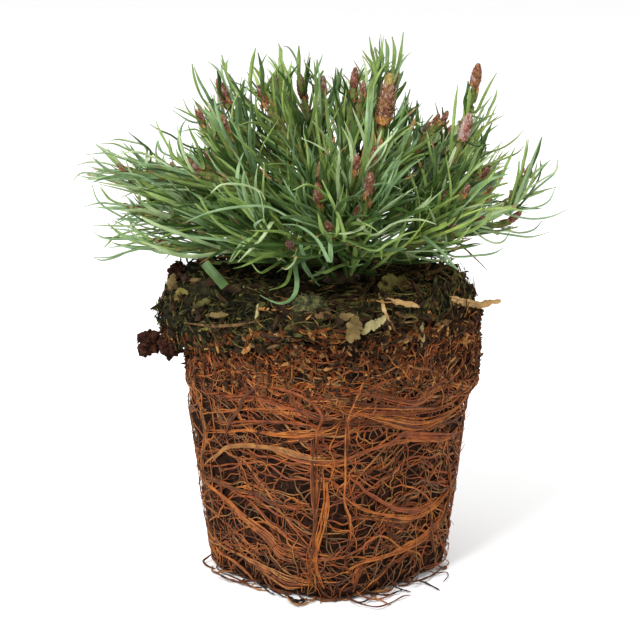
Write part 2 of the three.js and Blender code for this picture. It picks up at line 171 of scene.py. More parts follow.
CANDLE_ROSY_SHARE = 0.15
BUD_SLIMNESS = 0.76  # the looks' radius as a share of the CAD model's
CANDLE_SLIMNESS = 0.92
BUD_UPTURN = 0.6  # how much the sky draws it, against its shoot's own way
CANDLE_UPTURN = 2.4
TWIG_PLUMPNESS = 1.15
CANDLE_NECK = 7
LEADER_NECK = 4

# ---------------------------------------------------------------- small helpers

UP = np.array([0.0, 0.0, 1.0])


def lerp(a, b, t):
    return a + (b - a) * t


def smoothstep(x, low, high):
    t = np.clip((x - low) / (high - low), 0, 1)
    return t * t * (3 - 2 * t)


def unit(v):
    return v / np.maximum(np.linalg.norm(v, axis=-1, keepdims=True), 1e-12)


def seeded(seed):
    """The CAD model's numbers from 0 to 1, in an order that the seed fixes."""
    state = seed * 7919 + 17

    def draw():
        nonlocal state
        state = (state * 1664525 + 1013904223) % 4294967296
        return state / 4294967296

    return draw


def direction(azimuth, rise):
    a, r = math.radians(azimuth), math.radians(rise)
    return np.array([math.cos(r) * math.cos(a), math.cos(r) * math.sin(a), math.sin(r)])


def across(ahead, roll=0.0):
    """The unit vectors at right angles to `ahead` that are turned by `roll` degrees round it."""
    level = np.cross(ahead, UP)
    flat = np.linalg.norm(level, axis=-1, keepdims=True) < 1e-3
    level = unit(np.where(flat, np.array([1.0, 0.0, 0.0]), level))
    turn = np.radians(roll)
    cos, sin = np.cos(turn)[..., None], np.sin(turn)[..., None]
    return level * cos + np.cross(ahead, level) * sin


def around(count):
    """Angles evenly spread round a circle."""
    return 2 * np.pi * np.arange(count) / count


def outward_at(angle):
    """The level unit vectors that point away from the plant's axis."""
    return np.stack([np.cos(angle), np.sin(angle), np.zeros_like(angle)], -1)


def dealt(total, **shares):
    """Each tint with its part of a total number."""
    return [(tint, int(total * share)) for tint, share in shares.items()]


def pick(kept, *arrays):
    """The chosen rows of each array."""
    return [array[kept] for array in arrays]


class Arc:
    """A circular arc that leaves `start` along `ahead` and turns towards `aside` by `turn` degrees."""

    def __init__(self, start, ahead, aside, turn, length):
        self.start, self.ahead, self.aside, self.length = start, ahead, aside, length
        self.turn = math.radians(turn)

    def at(self, t):
        t = np.asarray(t, float)[..., None]
        a = self.turn * t
        if abs(self.turn) < 1e-4:
            return self.start + self.ahead * self.length * t
        bend = self.length / self.turn
        return self.start + self.ahead * bend * np.sin(a) + self.aside * bend * (1 - np.cos(a))

    def heading(self, t):
        a = self.turn * np.asarray(t, float)[..., None]
        return self.ahead * np.cos(a) + self.aside * np.sin(a)

    def stretch(self, start, end):
        """The part of the arc between two shares of its length."""
        aside = self.aside * math.cos(self.turn * start) - self.ahead * math.sin(self.turn * start)
        turn = math.degrees(self.turn) * (end - start)
        return Arc(self.at(start), self.heading(start), aside, turn, self.length * (end - start))


def straight(start, ahead, length):
    """An arc that doesn't turn."""
    return Arc(start, ahead, across(ahead), 0, length)


# ---------------------------------------------------------------- meshes from arrays


class Batch:
    """Many small shapes, in millimetres, that become one joined mesh."""

    def __init__(self):
        self.points, self.triangles, self.count = [], [], 0

    def add(self, points, triangles):
        """Adds copies of one shape: points is (copies, n, 3), and triangles index one copy."""
        points = np.asarray(points, float)
        if points.ndim == 2:
            points = points[None]
        copies, size = points.shape[:2]
        starts = self.count + size * np.arange(copies)
        self.points.append(points.reshape(-1, 3))
        self.triangles.append((triangles[None] + starts[:, None, None]).reshape(-1, 3))
        self.count += copies * size

    def piece(self, name, material, slot, nodes, crease=50):
        """Makes the mesh, as a piece that stands for CAD nodes and rides on the one body."""
        points = np.concatenate(self.points) * MM
        triangles = np.concatenate(self.triangles)
        mesh = bpy.data.meshes.new(name)
        mesh.vertices.add(len(points))
        mesh.vertices.foreach_set("co", points.ravel())
        mesh.loops.add(3 * len(triangles))
        mesh.loops.foreach_set("vertex_index", triangles.ravel().astype(np.int32))
        mesh.polygons.add(len(triangles))
        mesh.polygons.foreach_set("loop_start", np.arange(0, 3 * len(triangles), 3, dtype=np.int32))
        mesh.update(calc_edges=True)
        mesh.validate()
        mesh.shade_smooth()
        mesh.set_sharp_from_angle(angle=math.radians(crease))
        mesh.materials.append(material)
        piece = bpy.data.objects.new(name, mesh)
        bpy.context.scene.collection.objects.link(piece)
        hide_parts(*nodes)
        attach(piece, "root")
        return piece


def tube_triangles(rings, sides):
    """The skin and the two flat ends of a tube whose points run ring after ring."""
    ring, side = np.meshgrid(np.arange(rings - 1), np.arange(sides), indexing="ij")
    a = (ring * sides + side).ravel()
    b = (ring * sides + (side + 1) % sides).ravel()
    skin = np.concatenate([np.stack([a, b, b + sides], 1), np.stack([a, b + sides, a + sides], 1)])
    fan = np.array([[0, i + 1, i] for i in range(1, sides - 1)])
    far = (rings - 1) * sides + fan[:, [0, 2, 1]]
    return np.concatenate([skin, fan, far])


def round_section(sides):
    """The corners of a section, in shares of the half width."""
    turn = around(sides)
    return np.stack([np.cos(turn), np.sin(turn)], 1)


# A pine needle is flat where it faces its partner and rounded outside.
HALF_ROUND = np.array([[1.0, -0.16], [0.66, 0.46], [0.0, 0.7], [-0.66, 0.46], [-1.0, -0.16]])


def add_tubes(batch, paths, radii, section, side, relief=0.0):
    """Adds a tube along each path. paths is (count, steps, 3), radii (count, steps) or less, side is
    about the way that the section's first axis points, and relief is a share of the radius."""
    paths = np.asarray(paths, float)
    count, steps = paths.shape[:2]
    ahead = unit(np.gradient(paths, axis=1))
    side = np.broadcast_to(side, paths.shape)
    wide = unit(side - ahead * np.sum(side * ahead, axis=2, keepdims=True))
    deep = np.cross(ahead, wide)
    radii = np.broadcast_to(radii, (count, steps))[..., None, None]
    rings = section[:, 0, None] * wide[:, :, None] + section[:, 1, None] * deep[:, :, None]
    points = paths[:, :, None] + radii * rings * (1 + relief)
    batch.add(points.reshape(count, -1, 3), tube_triangles(steps, len(section)))


def taper(steps, tip=0.15, power=0.6):
    """Radius shares of a strand that thins out at both ends."""
    t = np.linspace(0, 1, steps)
    return np.maximum(np.sin(np.pi * t) ** power, tip)


def grid_triangles(rows, columns):
    """Triangles of a grid that closes on itself along its columns."""
    row, column = np.meshgrid(np.arange(rows - 1), np.arange(columns), indexing="ij")
    a = (row * columns + column).ravel()
    b = (row * columns + (column + 1) % columns).ravel()
    return np.concatenate([np.stack([a, b, b + columns], 1), np.stack([a, b + columns, a + columns], 1)])


def roughness_of(points, size, octaves=4):
    """Fractal noise from about -1 to 1 at each point, with lumps of about `size` mm."""
    flat = points.reshape(-1, 3) / size
    values = [noise.fractal(Vector(p), 1.0, 2.0, octaves) for p in flat]
    return np.array(values).reshape(points.shape[:-1])


# The front view: where the camera looks, from how far and how far down. A place in this view is its
# x and height on the plane through the view's centre.
VIEW_CENTRE = np.array([-3.7, 0, 112.2])
VIEW_DISTANCE = 1095
VIEW_RISE = math.radians(13)
TO_FRONT = np.array([0, -math.cos(VIEW_RISE), math.sin(VIEW_RISE)])
VIEW_UP = np.array([0, math.sin(VIEW_RISE), math.cos(VIEW_RISE)])
EYE = VIEW_CENTRE + VIEW_DISTANCE * TO_FRONT


def in_view(points):
    """Where points show in the front view."""
    off = points - VIEW_CENTRE
    nearer = VIEW_DISTANCE / (VIEW_DISTANCE - off @ TO_FRONT)
    return VIEW_CENTRE[0] + off[..., 0] * nearer, VIEW_CENTRE @ VIEW_UP + off @ VIEW_UP * nearer


def sight_lines(x, seen):
    """The ways from the eye to places in the front view."""
    x, seen = np.asarray(x, float), np.asarray(seen, float)
    sideways = np.stack([x - VIEW_CENTRE[0], 0 * x, 0 * x], -1)
    return VIEW_CENTRE + sideways + (seen - VIEW_CENTRE @ VIEW_UP)[..., None] * VIEW_UP - EYE


def from_view(places):
    """Points from rows of x in the front view, y in the row frame, and height in the front view."""
    x, y, seen = np.asarray(places, float).T
    ways = sight_lines(x, seen)
    return EYE + ways * ((y - EYE[1]) / ways[..., 1])[..., None]


def ground_tree(batches):
    """The soil and the crust's bed, ready to be looked at by rays."""
    points = np.concatenate([p for batch in batches for p in batch.points])
    counts = np.cumsum([0] + [batch.count for batch in batches])
    triangles = [t + start for batch, start in zip(batches, counts) for t in batch.triangles]
    return BVHTree.FromPolygons(points.tolist(), np.concatenate(triangles).tolist())


def front_path(places, ground, t, half_width):
    """A smooth path over the ground as it shows from the front. Each place is x and height in the
    front view, and how far the path stands off the ground there. Over flat ground it stands off
    further, as what lies there faces the front with all its width."""
    x, seen, lift = np.array(places).T
    hits = [ground.ray_cast(Vector(EYE), Vector(way))[:2] for way in sight_lines(x, seen)]
    known = [i for i, (hit, _) in enumerate(hits) if hit]
    fronts = [hits[i][0].y - 3 * half_width * hits[i][1].z ** 2 for i in known]
    depths = np.interp(range(len(places)), known, fronts)
    return smooth_route(from_view(np.stack([x, depths - lift - LITTER_LIFT, seen], -1)), t)


# ---------------------------------------------------------------- materials

TONE = 0.86  # of every colour below, which were picked under a weaker key light


def linear(hex_colour):
    """A base colour from its sRGB hex number."""
    parts = [(hex_colour >> shift & 255) / 255 for shift in (16, 8, 0)]
    return [TONE * (c / 12.92 if c <= 0.04045 else ((c + 0.055) / 1.055) ** 2.4) for c in parts] + [1.0]


RAMP_SPAN = (0.34, 0.66)  # where the noise's first and last colours lie
GLOSS_SPREAD = 0.12  # of the roughness, to both sides


def add_node(tree, kind, **settings):
    """A new node with its inputs set."""
    node = tree.nodes.new("ShaderNode" + kind)
    for name, value in settings.items():
        node.inputs[name.replace("_", " ")].default_value = value
    return node


def add_ramp(tree, colours):
    """A ramp of colours, evenly spread over the part of the range that noise fills."""
    ramp = add_node(tree, "ValToRGB")
    stops = ramp.color_ramp.elements
    stops.remove(stops[1])
    for i, position in enumerate(np.linspace(*RAMP_SPAN, len(colours))):
        stop = stops[0] if i == 0 else stops.new(position)
        stop.position = position
        stop.color = linear(colours[i])
    return ramp


def surface(name, colours, patch, grain=0.5, roughness=0.8, bump=0.3, specular=0.3, stretch=(1, 1, 1)):
    """A material whose colours follow each other in patches of about `patch` mm, with relief and
    fine speckle of about `grain` mm."""
    material = bpy.data.materials.new(name)
    material.use_nodes = True
    tree = material.node_tree
    join = tree.links.new
    shader = tree.nodes["Principled BSDF"]
    shader.inputs["Specular IOR Level"].default_value = specular
    place = add_node(tree, "TexCoord")
    scaling = add_node(tree, "Mapping", Scale=stretch)
    join(place.outputs["Object"], scaling.inputs["Vector"])

    patches = add_node(tree, "TexNoise", Scale=1 / (patch * MM), Detail=5, Roughness=0.62)
    ramp = add_ramp(tree, colours)
    join(scaling.outputs["Vector"], patches.inputs["Vector"])
    join(patches.outputs["Fac"], ramp.inputs["Fac"])
    join(ramp.outputs["Color"], shader.inputs["Base Color"])

    grains = add_node(tree, "TexNoise", Scale=1 / (grain * MM), Detail=3)
    relief = add_node(tree, "Bump", Strength=bump, Distance=0.4 * grain * MM)
    join(scaling.outputs["Vector"], grains.inputs["Vector"])
    join(grains.outputs["Fac"], relief.inputs["Height"])
    join(relief.outputs["Normal"], shader.inputs["Normal"])

    low, high = max(0.05, roughness - GLOSS_SPREAD), min(1.0, roughness + GLOSS_SPREAD)
    gloss = add_node(tree, "MapRange", To_Min=low, To_Max=high)
    join(grains.outputs["Fac"], gloss.inputs["Value"])
    join(gloss.outputs["Result"], shader.inputs["Roughness"])
    return material


def earth(name, colours, patch=3, grain=0.6, bump=1.0):
    return surface(name, colours, patch, grain, roughness=0.95, bump=bump, specular=0.08)


def crumb(name, colours, patch=3, roughness=0.85, bump=0.5):
    return surface(name, colours, patch, roughness=roughness, bump=bump, specular=0.1)


def root_tint(name, colours, patch, roughness, bump):
    return surface("root_" + name, colours, patch, roughness=roughness, bump=bump)


SOIL = earth("soil", [0x0E0704, 0x1C0F08, 0x2D190F, 0x3F2718], grain=0.7, bump=0.9)
MOSS_BED = earth("moss_bed", [0x0A0A05, 0x16150B, 0x252312, 0x36321C], patch=4)
PEAT = earth("peat", [0x160C08, 0x301A12, 0x4C2B1C])
ROOT_TINTS = {
    "rust": root_tint("rust", [0x5F290C, 0x7C3B12, 0x954A19], 6, 0.62, 0.35),
    "orange": root_tint("orange", [0x7E4013, 0x9A541A, 0xB06B28], 7, 0.6, 0.3),
    "tan": root_tint("tan", [0x764822, 0x905F2E, 0xA8763E], 6, 0.65, 0.3),
    "umber": root_tint("umber", [0x3A1A06, 0x52280B, 0x673711], 5, 0.7, 0.4),
    "ash": root_tint("ash", [0x50361F, 0x684A2C, 0x7E5E3C], 5, 0.72, 0.3),
    "black": root_tint("black", [0x140C07, 0x22150D, 0x352216], 4, 0.8, 0.4),
}
LITTER_TINTS = {
    "dark": crumb("litter_dark", [0x1B130C, 0x2E2014, 0x422E1C]),
    "brown": crumb("litter_brown", [0x402E1B, 0x60482B, 0x7E623E]),
    "rust": crumb("litter_rust", [0x3B1D0C, 0x592E13, 0x77441F]),
    "tan": crumb("litter_tan", [0x7A4E26, 0x996B3A, 0xB58850]),
    "khaki": crumb("litter_khaki", [0x4C4222, 0x645A2E, 0x7C723C]),
    "olive": crumb("litter_olive", [0x2C2C16, 0x42401F, 0x57542C]),
    "leaf": crumb("litter_leaf", [0x5A4A2C, 0x6E5C38, 0x847048], patch=5, roughness=0.7, bump=0.3),
    "pale": crumb("litter_pale", [0x807850, 0x9C9266, 0xB4A87E], patch=5, roughness=0.7, bump=0.3),
    "straw": crumb("litter_straw", [0x907044, 0xB08C5A, 0xC8A878], patch=5, roughness=0.7),
}
MOSS_TINTS = {
    "black": crumb("moss_black", [0x0E0E08, 0x191A0E, 0x272715]),
    "olive": crumb("moss_olive", [0x24240F, 0x38371A, 0x4E4B26]),
    "teal": crumb("moss_teal", [0x181E14, 0x272F20, 0x38422E]),
}

# ---------------------------------------------------------------- root ball


def wall_half_width(z):
    rounding = np.maximum(0, FOOT_ROUNDING - z)
    cut = FOOT_ROUNDING - np.sqrt(np.maximum(0, FOOT_ROUNDING**2 - rounding**2))
    above_rim = np.maximum(0, z - RIM_HEIGHT)
    taper_out = WALL_TAPER * (z - above_rim / 2)
    return FOOT_HALF_WIDTH + taper_out + RIM_STEP * smoothstep(above_rim, 0, 4) - cut


def square_reach(angle):
    a = angle - np.pi / 4
    return (np.abs(np.cos(a)) ** CORNER_POWER + np.abs(np.sin(a)) ** CORNER_POWER) ** (-1 / CORNER_POWER)


def ball_wall(angle, z):
    lumps = 0.5 * np.sin(5 * angle + 0.09 * z) + 0.4 * np.sin(9 * angle - 0.13 * z + 2)
    shift = RIM_SHIFT * np.cos(angle) * smoothstep(z, RIM_HEIGHT - 4, RIM_HEIGHT + 4)
    return wall_half_width(z) * square_reach(angle) + shift + lumps


def bump_at(angle, middle, spread):
    """1 at the middle angle, falling to 0 a few spreads away, all in degrees."""
    away = (np.degrees(angle) - middle + 180) % 360 - 180
    return np.exp(-((away / spread) ** 2))


def on_wall(angle, z, lift):
    """Points `lift` mm outside the ball's wall, which is worn down a little at its rim on the right and
    left, and low down on the right."""
    worn = RIM_WEAR * bump_at(angle, 0, 45) + LEFT_WEAR * bump_at(angle, 180, 25)
    worn = worn * smoothstep(z, RIM_HEIGHT - 2, RIM_HEIGHT + 8)
    worn = worn + FOOT_WEAR * bump_at(angle, 0, 30) * (1 - smoothstep(z, 40, 70))
    r = ball_wall(angle, np.clip(z, 0, BALL_HEIGHT)) + lift - worn
    return np.stack([r * np.cos(angle), r * np.sin(angle), z], -1)


def soil_core():
    """The soil inside the net of roots, a little sunk and crumbly."""
    columns, rows = 260, 110
    angle, z = np.meshgrid(around(columns), np.linspace(0, BALL_HEIGHT - 1, rows))
    points = on_wall(angle, z, -SOIL_SUNK)
    crumbs = 0.9 * roughness_of(points, 7) + 0.5 * roughness_of(points + 50, 1.8, 2)
    crumbs = np.minimum(crumbs, SOIL_SUNK) * smoothstep(z, 0, 5)
    flat = on_wall(angle, z, crumbs - SOIL_SUNK).reshape(-1, 3)
    middles = [[0.0, 0.0, 0.0], [0.0, 0.0, BALL_HEIGHT - 1.0]]
    count, last = len(flat), (rows - 1) * columns
    first = np.arange(columns)
    beside = (first + 1) % columns
    bottom = np.stack([beside, first, np.full(columns, count)], 1)
    top = np.stack([last + first, last + beside, np.full(columns, count + 1)], 1)
    batch = Batch()
    batch.add(np.concatenate([flat, middles]), np.concatenate([grid_triangles(rows, columns), bottom, top]))
    batch.piece("root_ball_soil", SOIL, "roots", ["root_ball"])
    return batch


# Roots that stand out on the ball's two front walls: points (angle in degrees, height), radius of
# each strand, number of strands side by side, and their spread. The wall angles run from 180 at the
# left corner over 270 at the front corner to 360 at the right corner.
ROOT_ROUTES = [
    ([(241, 96), (230, 89), (224, 81), (217, 74), (213, 66)], 0.95, 1, 0, "umber"),
    ([(241, 96), (256, 95), (263, 92), (267, 87), (266, 79), (265, 71)], 1.05, 1, 0, "rust"),
    ([(205, 84), (215, 85), (232, 89), (247, 88), (259, 87), (266, 84), (276, 83)], 0.5, 4, 1.6, "rust"),
    ([(199, 76), (211, 78), (226, 82), (243, 84), (258, 86), (267, 83)], 0.5, 3, 1.6, "orange"),
    ([(206, 72), (220, 74), (242, 79), (258, 81), (266, 80)], 0.55, 2, 1.0, "rust"),
    ([(196, 66), (210, 69), (230, 73), (245, 74), (258, 76), (266, 78),
     (275, 80)], 0.55, 4, 1.8, "orange"),
    ([(190, 47), (204, 57), (213, 62), (224, 65), (237, 67), (251, 68), (262, 66),
     (279, 66)], 1.15, 2, 1.2, "tan"),
    ([(237, 66), (251, 71), (260, 74), (266, 76), (276, 78)], 0.6, 2, 0.9, "orange"),
    ([(237, 67), (243, 67), (254, 65), (263, 64), (275, 64), (284, 68)], 0.7, 2, 1.0, "rust"),
    ([(186, 49), (194, 46), (205, 44), (217, 43), (230, 44), (241, 42), (252, 42),
     (266, 44)], 0.75, 3, 1.4, "orange"),
    ([(186, 48), (191, 43), (201, 39), (216, 33), (228, 28), (238, 24), (245, 20),
     (261, 19)], 0.65, 7, 3.4, "orange"),
    ([(222, 40), (230, 37), (238, 32), (248, 29), (251, 24), (260, 23)], 0.6, 2, 1.0, "tan"),
    ([(188, 19), (200, 14), (214, 13), (225, 11), (237, 9), (247, 7), (256, 7),
     (264, 7)], 0.75, 6, 3.0, "tan"),
    ([(190, 13), (198, 10), (211, 8), (219, 5), (224, 2)], 0.6, 2, 1.0, "orange"),
    ([(266, 91), (265, 70), (264, 52), (264, 38), (263, 26), (262, 17), (264, 4)], 0.6, 5, 2.6, "rust"),
    ([(268, 61), (269, 48), (267, 34), (264, 19), (268, 5)], 0.55, 3, 1.8, "orange"),
    ([(276, 90), (277, 74), (277, 56), (277, 45), (279, 38), (280, 30), (277, 12)], 0.6, 3, 1.4, "umber"),
    ([(270, 97), (276, 96), (282, 96), (296, 90), (312, 86), (321, 89), (333, 91),
     (344, 93)], 0.5, 6, 3.0, "rust"),
    ([(270, 90), (276, 90), (288, 87), (313, 82), (331, 79), (342, 81), (346, 87)], 0.5, 8, 3.4, "rust"),
    ([(274, 88), (283, 86), (295, 81), (316, 74), (334, 74), (347, 78),
     (354, 86)], 0.55, 7, 3.2, "orange"),
    ([(272, 79), (278, 81), (292, 80), (315, 73), (334, 71), (352, 72), (362, 78)], 0.5, 4, 2.2, "rust"),
    ([(270, 63), (279, 66), (286, 68), (294, 69), (301, 70), (308, 72), (324, 68), (343, 64),
     (360, 62)], 1.0, 2, 1.6, "rust"),
    ([(296, 66), (301, 69), (314, 68), (324, 66), (339, 64), (352, 66)], 0.75, 2, 1.2, "orange"),
    ([(271, 56), (277, 48), (285, 42), (294, 38), (311, 33), (322, 31), (330, 32), (340, 36),
     (352, 44)], 0.85, 2, 1.4, "orange"),
    ([(276, 60), (283, 54), (287, 49), (298, 42), (309, 37), (325, 34), (338, 36)], 0.8, 2, 1.2, "rust"),
    ([(272, 41), (279, 39), (293, 36), (311, 31), (324, 30), (336, 36)], 0.6, 3, 1.8, "umber"),
    ([(277, 14), (286, 17), (297, 17), (314, 17), (329, 19), (338, 23),
     (350, 26)], 0.65, 5, 2.6, "orange"),
    ([(287, 20), (287, 25), (293, 27), (301, 25), (312, 19), (319, 16), (328, 13),
     (336, 5)], 0.6, 1, 0, "tan"),
    ([(287, 19), (283, 12), (282, 3)], 0.6, 4, 1.8, "rust"),
    ([(286, 104), (281, 96), (278, 86), (278, 67)], 0.65, 2, 1.0, "orange"),
    ([(256, 98), (269, 99), (276, 98), (284, 96), (296, 99)], 0.6, 2, 1.0, "rust"),
    ([(269, 98), (273, 94), (276, 86), (277, 76)], 0.6, 1, 0, "rust"),
    ([(308, 85), (312, 86), (326, 90), (338, 94), (345, 103)], 0.5, 2, 1.6, "tan"),
    ([(330, 36), (334, 29), (337, 19), (345, 6)], 0.6, 3, 1.8, "umber"),
    ([(338, 70), (344, 52), (347, 36), (343, 20)], 0.5, 3, 2.0, "ash"),
    ([(196, 100), (193, 84), (196, 66), (192, 48), (196, 30)], 0.45, 4, 2.6, "ash"),
]


def smooth_route(points, t):
    """Catmull-Rom through the points, t from 0 to 1 along all of them."""
    points = np.asarray(points, float)
    padded = np.concatenate([[2 * points[0] - points[1]], points, [2 * points[-1] - points[-2]]])
    spans = len(points) - 1
    place = np.clip(t, 0, 1) * spans
    i = np.minimum(place.astype(int), spans - 1)
    s = (place - i)[..., None]
    a, b, c, d = (padded[i + k] for k in range(4))
    return b + 0.5 * s * (c - a + s * (2 * a - 5 * b + 4 * c - d + s * (3 * (b - c) + d - a)))


def wobble(rng, count, t, waves, size):
    """A smooth random sideways movement along each of `count` strands."""
    total = np.zeros((count, len(t)))
    for wave in range(1, waves + 1):
        phase = rng.uniform(0, 2 * np.pi, (count, 1))
        total += np.sin(2 * np.pi * wave * rng.uniform(0.6, 1.4, (count, 1)) * t + phase) / wave
    return size * total


def add_wall_roots(batch, rng, angle, z, radius, lift, sides=5):
    """Adds strands that lie on the wall. angle and z are (count, steps), the rest (count, 1)."""
    steps = angle.shape[1]
    buried = 1.6 * radius * (1 - np.minimum(1, 4 * np.sin(np.pi * np.linspace(0, 1, steps))))
    paths = on_wall(angle, np.clip(z, radius + 0.1, BALL_HEIGHT), lift - buried)
    radii = radius * taper(steps, 0.25, 0.3) * (1 + 0.16 * rng.uniform(-1, 1, angle.shape))
    add_tubes(batch, paths, radii, round_section(sides), outward_at(angle))


def routed_roots(batches):
    """The roots of ROOT_ROUTES, and the same turned half round for the two back walls."""
    rng = np.random.default_rng(SEED + 300)
    steps = 36
    t = np.linspace(0, 1, steps)
    for half_turn in (0, 1):
        for points, radius, count, spread, tint in ROOT_ROUTES:
            shift = half_turn * rng.uniform(-3, 3, 2)
            count = count if count == 1 else count + 2 + count // 2
            lane = (np.arange(count)[:, None] - (count - 1) / 2) / max(1, count - 1) * spread * 1.35
            begin = rng.uniform(0, 0.16, (count, 1)) * (count > 1)
            end = 1 - rng.uniform(0, 0.16, (count, 1)) * (count > 1)
            route = smooth_route(points, begin + (end - begin) * t)
            sideways = lane * (0.7 + 0.6 * np.sin(2 * np.pi * t * rng.uniform(0.5, 1.2) + rng.uniform(0, 6)))
            sideways = sideways + wobble(rng, count, t, 4, 0.36)
            steep = np.abs(points[-1][0] - points[0][0]) < np.abs(points[-1][1] - points[0][1])
            degrees = route[..., 0] + (sideways / 0.95 if steep else 0) + shift[0] + 180 * half_turn
            height = route[..., 1] + (0 if steep else sideways) + shift[1]
            radii = radius * rng.uniform(0.36, 0.76, (count, 1)) * (1.4 if count == 1 else 1)
            lift = rng.uniform(-0.1, 0.9, (count, 1)) + 0.3 * radii
            tints = rng.choice([tint, tint, "rust", "orange", "umber"], count)
            if radius > 0.8:
                tints[:] = tint
            for name in sorted(set(tints)):
                strands = pick(tints == name, np.radians(degrees), height, radii, lift)
                add_wall_roots(batches[name], rng, *strands)


def over_soil(rng, angle, height):
    """Which strands to leave out, so that the dark soil shows in patches."""
    lumps = roughness_of(on_wall(angle, height, 0.0), SOIL_PATCH, 3)
    return (lumps > 0.1) & (rng.uniform(size=angle.shape) < 0.92)


def crooked(start, middle, slope, along, sway, half_width):
    """Strands on a wall `half_width` mm from the axis, by how far they run along a slope and off it."""
    angle = start + (along * np.cos(slope) - sway * np.sin(slope)) / half_width
    return angle, middle + along * np.sin(slope) + sway * np.cos(slope)


def circling_roots(batches):
    """Thin strands that run round the ball, sagging towards its corners."""
    rng = np.random.default_rng(SEED + 301)
    steps = 28
    t = np.linspace(0, 1, steps)
    for tint, count in dealt(CIRCLING_STRANDS, rust=0.34, orange=0.26, umber=0.22, ash=0.08, tan=0.1):
        start = rng.uniform(0, 2 * np.pi, (count, 1))
        span = rng.uniform(0.35, 1.6, (count, 1)) * rng.choice([-1, 1], (count, 1))
        angle = start + span * t + wobble(rng, count, t, 2, 0.01)
        middle = rng.uniform(4, 100, (count, 1))
        climb = rng.normal(0, 15, (count, 1)) * (t - 0.5)
        height = middle + climb - 3.5 * np.cos(4 * angle) + wobble(rng, count, t, 5, 1.3)
        radius = ROOT_RADIUS * rng.uniform(0.55, 1.4, (count, 1))
        lift = rng.uniform(-0.3, 0.5, (count, 1))
        kept = ~over_soil(rng, angle[:, steps // 2], height[:, steps // 2])
        strands = pick(kept, angle, np.clip(height, 1, 106), radius, lift)
        add_wall_roots(batches[tint], rng, *strands)


def wandering_roots(batches):
    """Short, thin, crooked strands in every direction, which tie the others into a net."""
    rng = np.random.default_rng(SEED + 302)
    steps = 12
    t = np.linspace(0, 1, steps)
    for tint, count in dealt(WANDERING_STRANDS, ash=0.22, umber=0.2, rust=0.26, orange=0.2, tan=0.12):
        start = rng.uniform(0, 2 * np.pi, (count, 1))
        middle = rng.uniform(2, 108, (count, 1))
        slope = rng.uniform(-np.pi / 2, np.pi / 2, (count, 1))
        length = rng.uniform(8, 32, (count, 1))
        along = length * (t - 0.5)
        sway = wobble(rng, count, t, 3, 1.2) + rng.normal(0, 0.1, (count, 1)) * length * np.sin(np.pi * t)
        angle, height = crooked(start, middle, slope, along, sway, WALL_REACH)
        radius = ROOT_RADIUS * rng.uniform(0.35, 0.9, (count, 1))
        lift = rng.uniform(-0.3, 0.9, (count, 1))
        kept = ~over_soil(rng, angle[:, steps // 2], height[:, steps // 2])
        strands = pick(kept, angle, np.clip(height, 0.6, 112), radius, lift)
        add_wall_roots(batches[tint], rng, *strands, sides=4)


def loose_rim_roots(batches):
    """Curly broken strands between the net of roots and the crust, standing a little proud."""
    rng = np.random.default_rng(SEED + 303)
    steps = 12
    t = np.linspace(0, 1, steps)
    for tint, count in dealt(LOOSE_STRANDS, umber=0.34, rust=0.36, tan=0.12, orange=0.18):
        start = rng.uniform(0, 2 * np.pi, (count, 1))
        middle = LOOSE_TOP - LOOSE_DROP * rng.uniform(0, 1, (count, 1)) ** 1.1
        slope = rng.uniform(-np.pi, np.pi, (count, 1))
        along = rng.uniform(4, 19, (count, 1)) * (t - 0.5)
        sway = rng.uniform(-3.6, 3.6, (count, 1)) * np.sin(np.pi * t) + wobble(rng, count, t, 3, 0.6)
        angle, height = crooked(start, middle, slope, along, sway, RIM_REACH)
        lift = rng.uniform(-0.2, 1.3, (count, 1)) * np.sin(np.pi * t)
        radius = rng.uniform(0.14, 0.36, (count, 1))
        add_wall_roots(batches[tint], rng, angle, height, radius, lift, sides=4)


def fuzz(batches):
    """Fine hairs that stand off the wall, and stray roots that lie out from its foot."""
    rng = np.random.default_rng(SEED + 304)
    steps = 6
    t = np.linspace(0, 1, steps)
    for tint, count in dealt(FUZZ_HAIRS, ash=0.6, umber=0.4):
        angle = rng.uniform(0, 2 * np.pi, (count, 1))
        height = rng.uniform(3, 112, (count, 1))
        stand = rng.uniform(0.5, 3.2, (count, 1)) * t**0.7 - 0.3
        drift = rng.normal(0, 3.5, (count, 1)) * t
        climb = rng.normal(0, 3.0, (count, 1)) * t
        paths = on_wall(angle + drift / 55, np.clip(height + climb, 0.4, 114), stand)
        side = across(np.broadcast_to(outward_at(angle), paths.shape))
        add_tubes(batches[tint], paths, 0.13 * taper(steps, 0.3, 0.3), round_section(3), side)

    steps = 14
    t = np.linspace(0, 1, steps)
    for tint, count in (("umber", 46), ("tan", 14)):
        start = rng.uniform(0, 2 * np.pi, (count, 1))
        span = rng.uniform(-0.35, 0.35, (count, 1))
        reach = rng.uniform(1, 7, (count, 1)) * np.sin(np.pi * lerp(0.05, 0.8, t))
        angle = start + span * t + wobble(rng, count, t, 2, 0.02)
        radius = rng.uniform(0.22, 0.6, (count, 1))
        height = radius + 0.1 + rng.uniform(0.5, 3.5, (count, 1)) * (1 - t) ** 2
        paths = on_wall(angle, height, reach - 1)
        kept = bump_at(start[:, 0], 188, 14) < 0.4
        paths, radii = pick(kept, paths, radius * taper(steps, 0.4, 0.3))
        add_tubes(batches[tint], paths, radii, round_section(5), UP)


